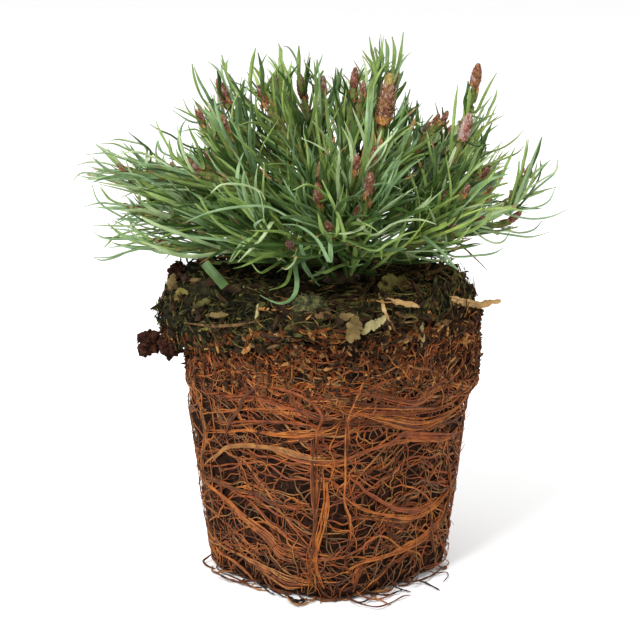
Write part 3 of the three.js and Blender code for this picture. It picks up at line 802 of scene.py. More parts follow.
# Stray roots that lie out from the front of the foot: tint, radius, and the places that each one
# joins, as x and the height in the front view. They start on the ball and lie on the floor.
FOOT_ROOTS = [
    ("tan", 0.4, [(16, -9), (18.3, -10.4), (20.9, -13), (24.9, -14.8), (27.5, -16.1)]),
    ("umber", 0.42, [(8, -11), (10.4, -13.9), (16, -16), (22, -16.8), (28, -14.8), (32.8, -12.2),
     (36.3, -11.7)]),
    ("black", 0.5, [(31, -5), (33.7, -6), (40.3, -5.5), (45.6, -7.7), (49, -9.5)]),
    ("umber", 0.3, [(44, -1), (47.3, -2), (51.7, -1.6), (52.6, -3.3), (50.4, -6)]),
    ("black", 0.4, [(28, -7), (30.6, -8.6), (33.3, -9.5), (36.3, -10.2)]),
    ("black", 0.4, [(-32, -5), (-29.2, -7.3), (-26.6, -9.9), (-23.5, -11.5)]),
    ("black", 0.35, [(-26, -9), (-23, -10.4), (-19.5, -12.4), (-15.6, -12.6)]),
    ("tan", 0.5, [(-19, -10), (-17.5, -13.5), (-13.5, -15.8), (-8, -14.6), (-5, -11)]),
    ("tan", 0.35, [(-2, -8), (-2.6, -10), (-3.7, -13), (-3.3, -15.6)]),
    ("black", 0.5, [(1, -9), (5, -10.6), (9.5, -13.6), (14.8, -14.8), (20, -12)]),
    ("umber", 0.5, [(-14, -9), (-12, -12.8), (-7, -13.8), (-3, -11)]),
    ("black", 0.5, [(2, -10), (3.5, -12.4), (8, -12.8), (13, -12)]),
    ("umber", 0.6, [(-50.3, -1.1), (-45.9, -3.8), (-41.1, -5.5), (-34.9, -6.9)]),
    ("umber", 0.5, [(-45.1, -2.5), (-39.8, -4.7), (-34.5, -7.7), (-29.2, -8.6)]),
    ("black", 0.6, [(-20, -9.5), (-16.9, -13.5), (-12.9, -15.7), (-9.4, -13)]),
    ("rust", 0.5, [(10.8, -9.1), (16.1, -12.6), (22.3, -13.5), (28.9, -10.8)]),
    ("umber", 0.6, [(35, -6), (40.3, -5.1), (45.6, -2.9), (51.3, 1.1)]),
    ("black", 0.5, [(14.8, -9.5), (24.5, -11.7), (32.4, -9.5)]),
    ("black", 0.9, [(-19.5, -10.4), (-16.9, -13), (-13.8, -14.3), (-10.7, -13.5)]),
]


def foot_roots(batches):
    """The roots of FOOT_ROOTS, at the places on the floor that show where each row says."""
    steps = 22
    t = np.linspace(0, 1, steps)
    for tint, radius, places in FOOT_ROOTS:
        x, seen = smooth_route(places, t).T
        z = radius + 0.1 + 3 * (1 - t) ** 3 + 0.8 * np.sin(3 * np.pi * t) ** 2
        ways = sight_lines(x, seen)
        path = EYE + ways * ((z - EYE[2]) / ways[:, 2])[:, None]
        radii = radius * (0.85 + 0.15 * np.sin(23 * t + x[0])) * taper(steps, 0.4, 0.2)
        add_tubes(batches[tint], path[None], radii, round_section(6), UP)


def flakes():
    """Curled flakes of bark and peat: a loose band under the crust, and a few among the roots below."""
    rng = np.random.default_rng(SEED + 305)
    for tint, share in (("dark", 0.38), ("rust", 0.4), ("brown", 0.14), ("tan", 0.08)):
        batch = Batch()
        bands = ((int(FLAKES * share), *FLAKE_BAND), (int(WALL_CHIPS * share), *WALL_CHIP_BAND))
        for count, low, high in bands:
            angle = rng.uniform(0, 2 * np.pi, count)
            height = high - (high - low) * rng.uniform(size=count) ** 1.25 + 2 * np.sin(5 * angle)
            height = np.minimum(height, 117.5)
            ledge = 4.5 * smoothstep(height, 108, 116) * rng.uniform(0, 1, count)
            ledge = ledge * (1 - 0.8 * bump_at(angle, 0, 35))
            places = on_wall(angle, height, rng.uniform(-0.3, 0.9, count) + ledge)
            add_loose_chips(batch, rng, places, outward_at(angle), (1.2, 5.4), (0.5, 1.6), (0.3, 0.7))
        batch.piece("flakes_" + tint, LITTER_TINTS[tint], "litter", ["root_ball"], crease=30)


def make_root_ball():
    soil = soil_core()
    flakes()
    batches = {tint: Batch() for tint in ROOT_TINTS}
    routed_roots(batches)
    circling_roots(batches)
    wandering_roots(batches)
    loose_rim_roots(batches)
    fuzz(batches)
    foot_roots(batches)
    for tint, batch in batches.items():
        batch.piece("roots_" + tint, ROOT_TINTS[tint], "roots", ["root_ball"])
    return soil


# ---------------------------------------------------------------- crust


def crust_edge(angle):
    return ball_wall(angle, BALL_HEIGHT) + 2.8 - 4.5 * np.cos(angle) + 0.8 * np.sin(6 * angle + 1)


def crust_foot(angle):
    sway = 5 * np.cos(angle) - 5 * np.sin(angle) - 4 * np.cos(2 * angle)
    return CRUST_SKIRT + sway + 1.2 * np.sin(7 * angle + 1)


def crust_top(x, y):
    r, angle = np.hypot(x, y), np.arctan2(y, x)
    share = np.maximum(0, r - CRUST_FLAT) / (crust_edge(angle) - CRUST_FLAT)
    lumps = 1.1 * np.sin(0.17 * x + 1) * np.cos(0.15 * y) + 0.6 * np.sin(0.31 * (x + y))
    return CRUST_TOP + share * (CRUST_RISE * np.cos(angle) ** 2 + lumps)


# The crust's section from its lower edge (0) over the shoulder to the middle (1): share of the
# edge's radius, and share of the height between the skirt's foot and the top.
CRUST_STOPS = [0, 0.12, 0.3, 0.45, 0.6, 0.8, 1]
CRUST_OUT = [0.96, 1, 0.99, 0.93, 0.78, 0.45, 0]
CRUST_UP = [0, 0.35, 0.65, 1, 1, 1, 1]


def skirt_foot(angle):
    """The ragged lower edge of the moss, which draws back where flakes show below it."""
    foot = crust_foot(angle)
    for height, middle, spread in SKIRT_GAPS:
        foot = foot + height * bump_at(angle, middle, spread)
    return foot


def on_crust(angle, share, lift=0.0):
    """Points on the crust, `lift` mm off it, at an angle and a share of its section."""
    sunk = MOSS_DEPTH + CRUST_WEAR * bump_at(angle, 0, 50) - CORNER_SWELL * bump_at(angle, 180, 25)
    shoulder = LEFT_SHOULDER * bump_at(angle, 190, 28) + RIGHT_SHOULDER * bump_at(angle, 0, 40)
    dent = CORNER_DENT * bump_at(angle, 182, 16)

    def surface_point(s):
        s = np.clip(s, 0, 1)
        inset = sunk + shoulder * smoothstep(s, 0.2, 0.45)
        inset = inset + dent * (smoothstep(s, 0.12, 0.28) - smoothstep(s, 0.4, 0.5))
        r = (crust_edge(angle) - inset) * np.interp(s, CRUST_STOPS, CRUST_OUT)
        x, y = r * np.cos(angle), r * np.sin(angle)
        z = lerp(skirt_foot(angle), crust_top(x, y), np.interp(s, CRUST_STOPS, CRUST_UP))
        return np.stack([x, y, z], -1)

    points = surface_point(share)
    rise = unit(surface_point(share + 0.02) - surface_point(share - 0.02))
    level = np.stack([-np.sin(angle), np.cos(angle), np.zeros_like(angle)], -1)
    normal = unit(np.cross(level, rise))
    return points + normal * np.asarray(lift)[..., None], normal, rise


def crust_bed():
    """The matted bed of moss and peat, ragged along its lower edge."""
    columns, rows = 330, 96
    share = np.linspace(0, 1, rows) ** 1.15
    angle, section = np.meshgrid(around(columns), share)
    points, normal, _ = on_crust(angle, section)
    relief = 2.3 * roughness_of(points, 9) + 1.1 * roughness_of(points + 30, 2.4, 3)
    points = points + normal * (relief - 0.5)[..., None]
    ragged = 2.4 * roughness_of(points * [1, 1, 0.2], 4, 3) * np.exp(-section / 0.1)
    points[..., 2] += ragged
    inner = on_wall(angle[:1], np.maximum(points[:1, :, 2] + 2, 96), -3)
    rings = np.concatenate([inner, points])
    batch = Batch()
    batch.add(rings.reshape(-1, 3), grid_triangles(rows + 1, columns))
    batch.piece("crust_bed", MOSS_BED, "litter", ["moss_crust"])
    return batch


def skirt_flakes():
    """Flakes that climb from the wall onto the skirt of the crust, highest at the front corner."""
    rng = np.random.default_rng(SEED + 317)
    for tint, count in (("dark", 190), ("rust", 260), ("brown", 80), ("tan", 50)):
        batch = Batch()
        angle = rng.uniform(0, 2 * np.pi, count)
        reach = 0.05 + 0.16 * bump_at(angle, 265, 42)
        reach = reach + 0.08 * bump_at(angle, 350, 40) + 0.06 * bump_at(angle, 90, 60)
        share = reach * rng.uniform(0, 1, count)
        places, normals, _ = on_crust(angle, share, rng.uniform(0.4, 2.0, count))
        add_loose_chips(batch, rng, places, normals, (1.8, 6.5), (0.6, 2.2), (0.3, 0.9))
        batch.piece("skirt_flakes_" + tint, LITTER_TINTS[tint], "litter", ["moss_crust"], crease=30)


CRUST_CORNER = -float(crust_edge(np.array(np.pi)))  # x of the crust's left corner
# The clods at this corner, and the small one on top of it: centre and size.
CLODS = [
    ((CRUST_CORNER + 5, -8, 103), 4.8),
    ((CRUST_CORNER - 4.6, -5, 103), 4.7),
    ((CRUST_CORNER + 5.5, -6, 108.5), 4.2),
    ((-66, -4, 134.5), 3.4),
]
CLOD_CRUMBS = 70
CLOD_HAIRS = 26


def globe(columns, rows, wide, deep, high):
    """The skin of a ball, by its half width, depth and height, from its foot up."""
    turn, tilt = np.meshgrid(around(columns), np.linspace(0, np.pi, rows))
    x, y = wide * np.sin(tilt) * np.cos(turn), deep * np.sin(tilt) * np.sin(turn)
    return np.stack([x, y, -high * np.cos(tilt)], -1)


def clods():
    """The crumbly clods that hang at the left corner, and the small one on top of it."""
    rng = np.random.default_rng(SEED + 310)
    batch = Batch()
    columns, rows = 40, 30
    for centre, size in CLODS:
        ball = globe(columns, rows, 1, 1, 1.15)
        lumps = 1 + 0.55 * roughness_of(ball * 10 + rng.uniform(0, 50), 6, 4)
        points = np.array(centre) + size * ball * lumps[..., None]
        batch.add(points.reshape(-1, 3), grid_triangles(rows, columns))
        way = unit(rng.normal(size=(CLOD_CRUMBS, 3)))
        place = np.array(centre) + way * size * rng.uniform(0.75, 1.15, (CLOD_CRUMBS, 1))
        add_chips(batch, rng, place, way, np.cross(way, UP), (1.2, 3.4), (0.7, 1.8), (0.5, 1.2))
        way = unit(rng.normal(size=(CLOD_HAIRS, 1, 3)))
        t = np.linspace(0, 1, 5)[:, None]
        bow = rng.normal(0, 1, (CLOD_HAIRS, 1, 3)) * t * t
        paths = np.array(centre) + way * size * lerp(0.8, 1.35, t) + bow
        add_tubes(batch, paths, 0.16 * taper(5, 0.4, 0.4), round_section(3), across(way))
    batch.piece("crust_clods", PEAT, "litter", ["moss_crust"])


# A chip's outline, in shares of half its length and half its width, and the triangles of its two faces
# and its edge.
CHIP_OUTLINE = np.array([[-1, -0.35], [-0.55, -0.9], [0.5, -1], [1, -0.2], [0.75, 0.7], [-0.3, 1]])
CHIP_FACE = np.array([[0, i, i + 1] for i in range(1, 5)])
CHIP_EDGE = [[i, i + 6, (i + 1) % 6] for i in range(6)]
CHIP_EDGE += [[(i + 1) % 6, i + 6, (i + 1) % 6 + 6] for i in range(6)]
CHIP_TRIANGLES = np.concatenate([CHIP_FACE, np.array(CHIP_EDGE), CHIP_FACE[:, ::-1] + 6])


def add_chips(batch, rng, places, normals, along, lengths, widths, thicknesses):
    """Adds thin irregular chips that lie at places, square to normals."""
    count = len(places)
    along = unit(along - normals * np.sum(along * normals, axis=1, keepdims=True))
    beside = np.cross(normals, along)
    ragged = CHIP_OUTLINE * (1 + rng.uniform(-0.3, 0.3, (count, 6, 2)))
    half_length = rng.uniform(*lengths, (count, 1)) / 2
    half_width = rng.uniform(*widths, (count, 1)) / 2
    half_thick = rng.uniform(*thicknesses, (count, 1)) / 2
    curl = rng.uniform(-0.5, 0.5, (count, 1)) * half_width
    u, v = ragged[..., 0], ragged[..., 1]
    flat = places[:, None] + along[:, None] * (u * half_length)[..., None]
    flat = flat + beside[:, None] * (v * half_width)[..., None] + normals[:, None] * (curl * u * u)[..., None]
    thick = normals[:, None] * half_thick[..., None]
    batch.add(np.concatenate([flat + thick, flat - thick], axis=1), CHIP_TRIANGLES)


def add_loose_chips(batch, rng, places, normals, *sizes):
    """Adds chips that lie in any direction, and not quite flat."""
    along = rng.normal(size=(len(places), 3)) * [1, 1, 0.8]
    facing = unit(normals + rng.normal(0, 0.45, (len(places), 3)))
    add_chips(batch, rng, places, facing, along, *sizes)


def scattered(rng, count, low=0.0, high=1.0, lift=0.0):
    """Random places on the crust, evenly spread over its skin between two shares of the section."""
    angle = rng.uniform(0, 2 * np.pi, count)
    share = rng.uniform(low, high, count)
    out = np.interp(share, CRUST_STOPS, CRUST_OUT)
    kept = rng.uniform(0, 1, count) < np.maximum(out, 0.12)
    angle, share = pick(kept, angle, share)
    places, normals, rise = on_crust(angle, share, lift)
    return places, normals, rise, np.cross(normals, rise), angle


def off_moss(rng, angle, tint):
    """Which bits of litter to keep: few brown ones lie on the mossy left."""
    mossy = 0.75 * bump_at(angle, 210, 55) * (tint in ("brown", "tan"))
    return rng.uniform(size=angle.shape) >= mossy


# The chips of the litter: tint, share of all, and the ranges of length, width and thickness.
CHIP_KINDS = [
    ("dark", 0.34, ((3, 11), (1.0, 3.4), (0.8, 2.2))),
    ("brown", 0.24, ((2, 9), (0.7, 2.2), (0.5, 1.4))),
    ("olive", 0.2, ((2, 9), (0.8, 2.8), (0.5, 1.6))),
    ("khaki", 0.12, ((1.5, 8), (0.5, 1.5), (0.4, 1.1))),
    ("tan", 0.05, ((1.5, 6), (0.4, 1.0), (0.3, 0.7))),
    ("pale", 0.02, ((0.8, 2.4), (0.5, 1.2), (0.3, 0.7))),
]


def litter(batches):
    """Chips of bark and wood, mostly lying flat and level."""
    rng = np.random.default_rng(SEED + 311)
    for tint, share, sizes in CHIP_KINDS:
        *skin, angle = scattered(rng, int(CHIPS * share), 0, 0.97, 0.5)
        places, normals, rise, level = pick(off_moss(rng, angle, tint), *skin)
        count = len(places)
        places = places + normals * rng.normal(0.2, 0.5, (count, 1))
        tilt = rng.normal(0, 0.4, (count, 3))
        turn = rng.normal(0, 0.6, (count, 1))
        along = level * np.cos(turn) + rise * np.sin(turn)
        add_chips(batches[tint], rng, places, unit(normals + tilt), along, *sizes)


PEAT_WEDGE = math.radians(340)  # where the crust's fibres all stand upright


def fibres(batches):
    """Thin curved threads of peat, root and dead needle."""
    rng = np.random.default_rng(SEED + 312)
    steps = 8
    t = np.linspace(0, 1, steps)[:, None]
    for tint, total in dealt(CRUST_FIBRES, dark=0.3, brown=0.28, khaki=0.22, olive=0.14, tan=0.06):
        *skin, angle = scattered(rng, total, 0, 0.95)
        places, normals, rise, level, angle = pick(off_moss(rng, angle, tint), *skin, angle)
        count = len(places)
        turn = rng.uniform(-np.pi, np.pi, count)
        upright = np.cos(angle - PEAT_WEDGE) > 0.85
        turn = np.where(upright, rng.normal(np.pi / 2, 0.35, count), turn)[:, None]
        along = (level * np.cos(turn) + 0.6 * rise * np.sin(turn))[:, None]
        length = rng.uniform(3, 13, (count, 1, 1))
        bow = rng.uniform(-0.3, 0.3, (count, 1, 1)) * length
        stand = rng.uniform(-0.5, 1.7, (count, 1, 1)) + rng.uniform(-1, 2.2, (count, 1, 1)) * t
        paths = places[:, None] + along * length * (t - 0.5) + normals[:, None] * stand
        paths = paths + np.cross(along, normals[:, None]) * bow * np.sin(np.pi * t)
        radius = rng.uniform(0.1, 0.3, (count, 1)) * taper(steps, 0.35, 0.4)
        add_tubes(batches[tint], paths, radius, round_section(3), normals[:, None])


def moss():
    """Fronds of moss: short leafy threads, thickest along the skirt and on the left."""
    rng = np.random.default_rng(SEED + 313)
    steps = 6
    t = np.linspace(0, 1, steps)[:, None]
    for tint, total in dealt(MOSS_FRONDS, black=0.34, olive=0.52, teal=0.14):
        batch = Batch()
        *skin, angle = scattered(rng, total, 0, 0.9, -0.2)
        kept = rng.uniform(0, 1, len(angle)) < 0.62 - 0.38 * np.cos(angle + 0.4)
        places, normals, rise, level = pick(kept, *skin)
        count = len(places)
        turn = rng.uniform(-np.pi, np.pi, (count, 1))
        lean = (level * np.cos(turn) + rise * np.sin(turn))[:, None]
        length = rng.uniform(1.4, 4.6, (count, 1, 1))
        stand = rng.uniform(0.2, 0.75, (count, 1, 1))
        bow = normals[:, None] * length * stand * np.sin(0.6 * np.pi * t)
        paths = places[:, None] + lean * length * t + bow
        leafy = 1 + 0.45 * (np.arange(steps) % 2)
        radius = rng.uniform(0.18, 0.4, (count, 1)) * taper(steps, 0.2, 0.5) * leafy
        add_tubes(batch, paths, radius, round_section(4), np.cross(lean, normals[:, None]))
        batch.piece("moss_" + tint, MOSS_TINTS[tint], "litter", ["moss_crust"], crease=80)


# The larger bits of litter that catch the eye: tint, angle in degrees, share of the crust's section,
# lift, way round in degrees (0 level, 90 upwards), length, width and thickness.
NAMED_LITTER = [
    ("tan", 250, 0.40, 1.2, -4, 6, 1.0, 0.6),
    ("tan", 272, 0.04, 1.4, 8, 6, 2.4, 0.8),
    ("brown", 352, 0.60, 1.8, -35, 13, 2.6, 1.4),
    ("brown", 30, 0.62, 1.6, 30, 15, 2.8, 1.3),
    ("tan", 96, 0.46, 1.2, 12, 14, 2.0, 1.0),
    ("leaf", 118, 0.30, 1.5, -30, 9, 5.4, 0.7),
    ("brown", 64, 0.22, 1.2, 8, 16, 2.2, 0.9),
    ("tan", 150, 0.52, 1.2, -20, 15, 1.8, 1.0),
    ("olive", 74, 0.66, 1.5, 30, 12, 8, 2.0),
]

# Splinters, twigs and leaves on the back half of the crust: tint, half width, and the places that
# each one joins, as angle in degrees, share of the crust's section and lift.
SPLINTERS = [
    ("tan", 0.9, [(84, 0.62, 1.2), (96, 0.5, 1.8), (104, 0.42, 1.2)]),
    ("khaki", 1.0, [(20, 0.18, 1.0), (36, 0.22, 1.6), (52, 0.28, 1.2)]),
    ("tan", 1.2, [(140, 0.44, 1.2), (147, 0.36, 2.0), (151, 0.32, 5.5)]),
    ("brown", 0.8, [(120, 0.2, 1.2), (132, 0.26, 1.8), (146, 0.2, 1.2)]),
]

# The same at the front, where each place is x, the height in the front view, and how far it stands
# off the crust. The third number is the thickness, as a share of the width.
FRONT_PIECES = [
    ("straw", 1.2, 0.5, [(25, 118.5, 1.6), (31.5, 117.2, 2.4), (40, 115, 1.4)]),
    ("straw", 0.9, 0.5, [(22, 121.2, 1.2), (24, 115.9, 2.0), (26, 110.2, 1.6), (27, 104.9, 1.2)]),
    ("straw", 1.4, 0.5, [(54, 118.1, 1.4), (62, 115.9, 2.4), (67, 116.2, 2.2), (72, 117, 1),
     (76, 117.6, 1)]),
    ("straw", 0.7, 0.6, [(53.5, 119.6, 1.2), (60.5, 118.1, 2.6), (67, 116.8, 1.6)]),
    ("tan", 0.9, 0.6, [(36.8, 130.6, 1.4), (40, 128.7, 2.0), (43.5, 126.9, 1.2)]),
    ("brown", 0.7, 0.8, [(28.4, 132.4, 1.4), (37, 130.9, 2.6), (45, 130.6, 1.4)]),
    ("leaf", 0.7, 0.7, [(-66, 127.8, 0.8), (-58.7, 127, 1.6), (-51, 127.4, 1.0)]),
    ("leaf", 1.1, 0.6, [(-54, 111.3, 0.8), (-49, 111.7, 1.2), (-44, 111.5, 0.8)]),
    ("brown", 0.7, 0.8, [(-63.5, 108, 0.8), (-54, 107, 1.2), (-43, 107, 1.2), (-32, 108.4, 0.8)]),
    ("khaki", 0.7, 0.7, [(-57.5, 104.5, 0.8), (-52, 106.2, 1.4), (-47, 108.4, 0.8)]),
    ("khaki", 3.4, 0.35, [(23, 122, 0.8), (27, 125, 1.2), (34, 127.6, 0.8)]),
    ("leaf", 3.0, 0.2, [(10, 99.2, 1.4), (10.4, 103, 2.6), (11.7, 107, 2.4), (13.4, 110.6, 1.2)]),
    ("pale", 1.8, 0.25, [(14.6, 103.2, 1.2), (18, 106.6, 2.4), (21.4, 107.4, 2.0), (24.8, 111.4, 2.2)]),
    ("leaf", 1.5, 0.3, [(3.8, 107.6, 0.8), (7.5, 110.6, 1.6), (11, 112, 1.0)]),
    ("tan", 1.2, 0.6, [(38.1, 102, 1.8), (38.2, 107.3, 2.2)]),
    ("pale", 0.8, 0.4, [(41.6, 110.2, 1.4), (40.9, 106, 2.4), (41.8, 102, 2.4), (40.9, 97.4, 1.8)]),
    ("tan", 1.7, 0.4, [(58.6, 99, 0.8), (60.6, 104, 1.2)]),
    ("leaf", 2.3, 0.35, [(-69.5, 122.6, 0.4), (-67.6, 129.4, 0.4)]),
    ("khaki", 1.6, 0.4, [(-67.6, 118, 0.4), (-65, 121.6, 0.8), (-61.6, 121.4, 0.6)]),
    ("pale", 0.8, 0.5, [(-32, 110, 0.8), (-31, 114, 1.0), (-30, 117, 0.8)]),
    ("tan", 0.7, 0.5, [(-31, 114, 0.8), (-26, 114.2, 0.8)]),
    ("rust", 1.6, 0.5, [(12, 117.2, 0.8), (16, 117.6, 0.8)]),
    ("rust", 0.35, 1.0, [(45, 130, 0.4), (52, 138, 0), (58, 141.5, 0), (64, 137, 0), (70, 131, 0)]),
    ("khaki", 1.3, 0.5, [(-20, 117, 0.8), (-14, 118.4, 1.0)]),
    ("brown", 1.5, 0.5, [(-6, 111, 0.8), (1, 111.6, 1.0)]),
    ("olive", 1.4, 0.4, [(-59, 115.4, 0.8), (-52, 118.2, 1.2)]),
    ("brown", 1.4, 0.5, [(47, 107, 0.8), (54, 108.6, 1.2)]),
]


def named_litter(batches):
    """The pieces of NAMED_LITTER, each a chip with a size of its own."""
    rng = np.random.default_rng(SEED + 314)
    for tint, angle, share, lift, way, length, width, thickness in NAMED_LITTER:
        place, normal, rise = on_crust(np.radians([float(angle)]), np.array([share]), np.array([lift]))
        level = np.cross(rise, normal)
        turn = math.radians(way)
        along = level * math.cos(turn) + rise * math.sin(turn)
        sizes = ((length, length), (width, width), (thickness, thickness))
        add_chips(batches[tint], rng, place, normal, along, *sizes)


def splinters(batches):
    """The pieces of SPLINTERS, flat and curved along the crust."""
    steps = 14
    t = np.linspace(0, 1, steps)
    for tint, half_width, places in SPLINTERS:
        angle, share, lift = smooth_route(places, t).T
        path, normal, _ = on_crust(np.radians(angle), share, lift)
        ragged = 1 + 0.18 * np.sin(9 * t + angle[0])
        radii = half_width * ragged * taper(steps, 0.25, 0.35)
        flat = round_section(7) * [1, 0.4]
        add_tubes(batches[tint], path[None], radii, flat, np.cross(normal, np.gradient(path, axis=0))[None])


def front_pieces(batches, ground):
    """The pieces of FRONT_PIECES, crumpled, with ragged edges."""
    rng = np.random.default_rng(SEED + 316)
    steps, sides = 22, 8
    t = np.linspace(0, 1, steps)
    for tint, half_width, thickness, places in FRONT_PIECES:
        path = front_path(places, ground, t, half_width)
        crumpled = 0.3 * half_width * thickness * np.sin(7 * t + path[0, 0])
        path = path + TO_FRONT * crumpled[:, None]
        relief = rng.normal(0, 0.09, (1, steps, sides, 1)) + rng.normal(0, 0.09, (1, steps, 1, 1))
        side = np.cross(TO_FRONT, np.gradient(path, axis=0))
        phase = rng.uniform(0, 6, 4)
        ragged = 1 + 0.14 * np.sin(6 * t + phase[0]) + 0.12 * np.sin(15 * t + phase[1])
        astray = 0.16 * np.sin(7 * t + phase[2]) + 0.12 * np.sin(17 * t + phase[3])
        path = path + unit(side) * (half_width * astray)[:, None]
        radii = half_width * ragged * taper(steps, 0.3, 0.4)
        section = round_section(sides) * [1, thickness]
        add_tubes(batches[tint], path[None], radii, section, side[None], relief)


CUSHION_TINT = surface(
    "moss_cushion", [0x1C1E0E, 0x32341A, 0x4E4E2A, 0x726E42], patch=3, grain=0.4, roughness=0.9, bump=0.8
)
CUSHION_SIZE = np.array([8.6, 4.6, 6.6])  # half its width, depth and height
CUSHION_HAIRS = 420
CUSHION_PLACE = (np.radians([261.0]), np.array([0.5]), np.array([-0.5]))  # angle, share of section, lift


def moss_cushion():
    """The round pale cushion of moss beside the trunk's foot, at the front."""
    rng = np.random.default_rng(SEED + 315)
    place, _, _ = on_crust(*CUSHION_PLACE)
    columns, rows = 56, 30
    ball = globe(columns, rows, *CUSHION_SIZE)
    lumps = 1 + 0.12 * roughness_of(ball, 4) + 0.07 * roughness_of(ball, 1.0, 2)
    batch = Batch()
    batch.add(place + (ball * lumps[..., None]).reshape(-1, 3), grid_triangles(rows, columns))
    way = unit(rng.normal(size=(CUSHION_HAIRS, 3)))
    steps = 4
    t = np.linspace(0, 1, steps)[:, None]
    skin = place + way * CUSHION_SIZE
    curl = rng.normal(0, 0.5, (CUSHION_HAIRS, 1, 3)) * t
    paths = skin[:, None] + way[:, None] * rng.uniform(0.5, 1.3, (CUSHION_HAIRS, 1, 1)) * t + curl
    side = across(way)[:, None]
    add_tubes(batch, paths, 0.2 * taper(steps, 0.3, 0.4), round_section(3), side)
    batch.piece("moss_cushion", CUSHION_TINT, "litter", ["moss_crust"])


def make_crust(soil):
    ground = ground_tree([soil, crust_bed()])
    skirt_flakes()
    clods()
    moss()
    moss_cushion()
    batches = {tint: Batch() for tint in LITTER_TINTS}
    litter(batches)
    fibres(batches)
    named_litter(batches)
    splinters(batches)
    front_pieces(batches, ground)
    for tint, batch in batches.items():
        batch.piece("litter_" + tint, LITTER_TINTS[tint], "litter", ["moss_crust"], crease=30)
    return ground


# ---------------------------------------------------------------- trunk and boughs

TRUNK_ARC = Arc(TRUNK_FOOT, direction(200, 86), direction(20, 4), 8, TRUNK_LENGTH)

BARK_COLOURS = [0x1E1610, 0x382A1C, 0x52402C, 0x6A5A40]
BARK = surface("bark", BARK_COLOURS, patch=2.2, roughness=0.85, bump=0.8, stretch=(1, 1, 0.45))


def trunk_radius(t):
    return lerp(TRUNK_FOOT_RADIUS, TRUNK_TIP_RADIUS, t) + ROOT_FLARE * np.exp(-t * TRUNK_LENGTH / 3)


def add_limb(batch, arc, rings, sides, radius_at):
    """Adds a limb, by its radius at shares of its length and angles round it."""
    t, turn = np.meshgrid(np.linspace(0, 1, rings), around(sides), indexing="ij")
    wide = across(arc.heading(t), np.degrees(turn))
    points = arc.at(t) + wide * radius_at(t, turn)[..., None]
    batch.add(points.reshape(-1, 3), tube_triangles(rings, sides))


def bark_tube(batch, arc, radius, rings, sides, plate):
    """A limb with the relief of its bark: plates about `plate` mm wide, with cracks along the limb."""

    def rough_radius(t, turn):
        r = radius(t)
        place = np.stack([r * np.cos(turn), r * np.sin(turn), 0.4 * arc.length * t], -1)
        relief = 0.09 * r * roughness_of(place, plate)
        return r + (relief + 0.05 * r * roughness_of(place + 20, 0.4 * plate, 2))

    add_limb(batch, arc, rings, sides, rough_radius)


def bough_radius(t):
    return lerp(BOUGH_FOOT_RADIUS, SHOOT_RADIUS, t)


def bough_arc(bough):
    _, height, azimuth, rise, bend, length, _ = bough
    foot = TRUNK_ARC.at((height - TRUNK_FOOT[2]) / TRUNK_LENGTH)
    return Arc(foot, direction(azimuth, rise), direction(azimuth, rise + 90), bend, length)


def make_trunk():
    batch = Batch()
    bark_tube(batch, TRUNK_ARC, trunk_radius, rings=90, sides=40, plate=2.4)
    batch.piece("trunk_bark", BARK, "bark", ["trunk"])
    boughs = Batch()
    for bough in BOUGHS:
        wood = bough_arc(bough).stretch(0.08, (WOOD_LENGTH - CLEARANCE / 2) / bough[5])
        bark_tube(boughs, wood, bough_radius, rings=26, sides=16, plate=1.4)
    boughs.piece("bough_bark", BARK, "bark", [n for n in NODES if n.startswith("bough_")])


# ---------------------------------------------------------------- shoots, by the CAD model's rule


def segment_gaps(p1, q1, p2, q2):
    """Shortest distances between the segments p1-q1 and p2-q2, row by row."""
    d1, d2, r = q1 - p1, q2 - p2, p1 - p2

    def dot(u, v):
        return np.sum(u * v, axis=-1)

    a, b, c = dot(d1, d1), dot(d1, d2), dot(d1, r)
    e, f = dot(d2, d2), dot(d2, r)
    across_share = a * e - b * b
    s = np.where(across_share > 1e-9, np.clip((b * f - c * e) / np.maximum(across_share, 1e-9), 0, 1), 0)
    t = (b * s + f) / e
    s = np.where(t < 0, np.clip(-c / a, 0, 1), np.where(t > 1, np.clip((b - c) / a, 0, 1), s))
    t = np.clip(t, 0, 1)
    return np.linalg.norm(p1 + d1 * s[..., None] - p2 - d2 * t[..., None], axis=-1)


class Room:
    """Keeps the shoots of every mass to their own space, with each limb held as a chain of capsules."""

    def __init__(self):
        self.capsules = []

    def claim(self, owner, arc, radius, stem=False):
        for i in range(4):
            self.capsules.append((owner, stem, i == 0, arc.at(i / 4), arc.at((i + 1) / 4), radius))

    def is_clear(self, owner, arc, radius):
        ends = [arc.at(i / 4) for i in range(5)]
        for x, y, z in ends[1:]:
            inside = math.hypot(x, y) < crust_edge(math.atan2(y, x)) + 3
            if inside and z < crust_top(x, y) + radius + 0.8:
                return False
        for other, stem, rooted, start, end, size in self.capsules:
            own = other == owner
            if own and (stem or rooted):
                continue
            gap = radius + size + (0 if own else CLEARANCE)
            first = 1 if own else 0
            near = segment_gaps(np.array(ends[first:4]), np.array(ends[first + 1 :]), start, end)
            if np.any(near <= gap):
                return False
        return True


def side_shoot(leader, draw, index, count):
    start = lerp(0.12, 0.42, draw())
    ahead = leader.heading(start)
    roll = 360 * (index + draw()) / count
    slant = math.radians(lerp(24, 38, draw()))
    heading = unit(ahead * math.cos(slant) + across(ahead, np.array(roll)) * math.sin(slant))
    upwards = unit(UP - heading * heading[2])
    length = leader.length * lerp(0.55, 0.8, draw())
    return Arc(leader.at(start), heading, upwards, lerp(6, 22, draw()), length)


def bud_arc(arc, candle):
    return straight(arc.at(0.98), arc.heading(1), CANDLE_LENGTH if candle else BUD_LENGTH)


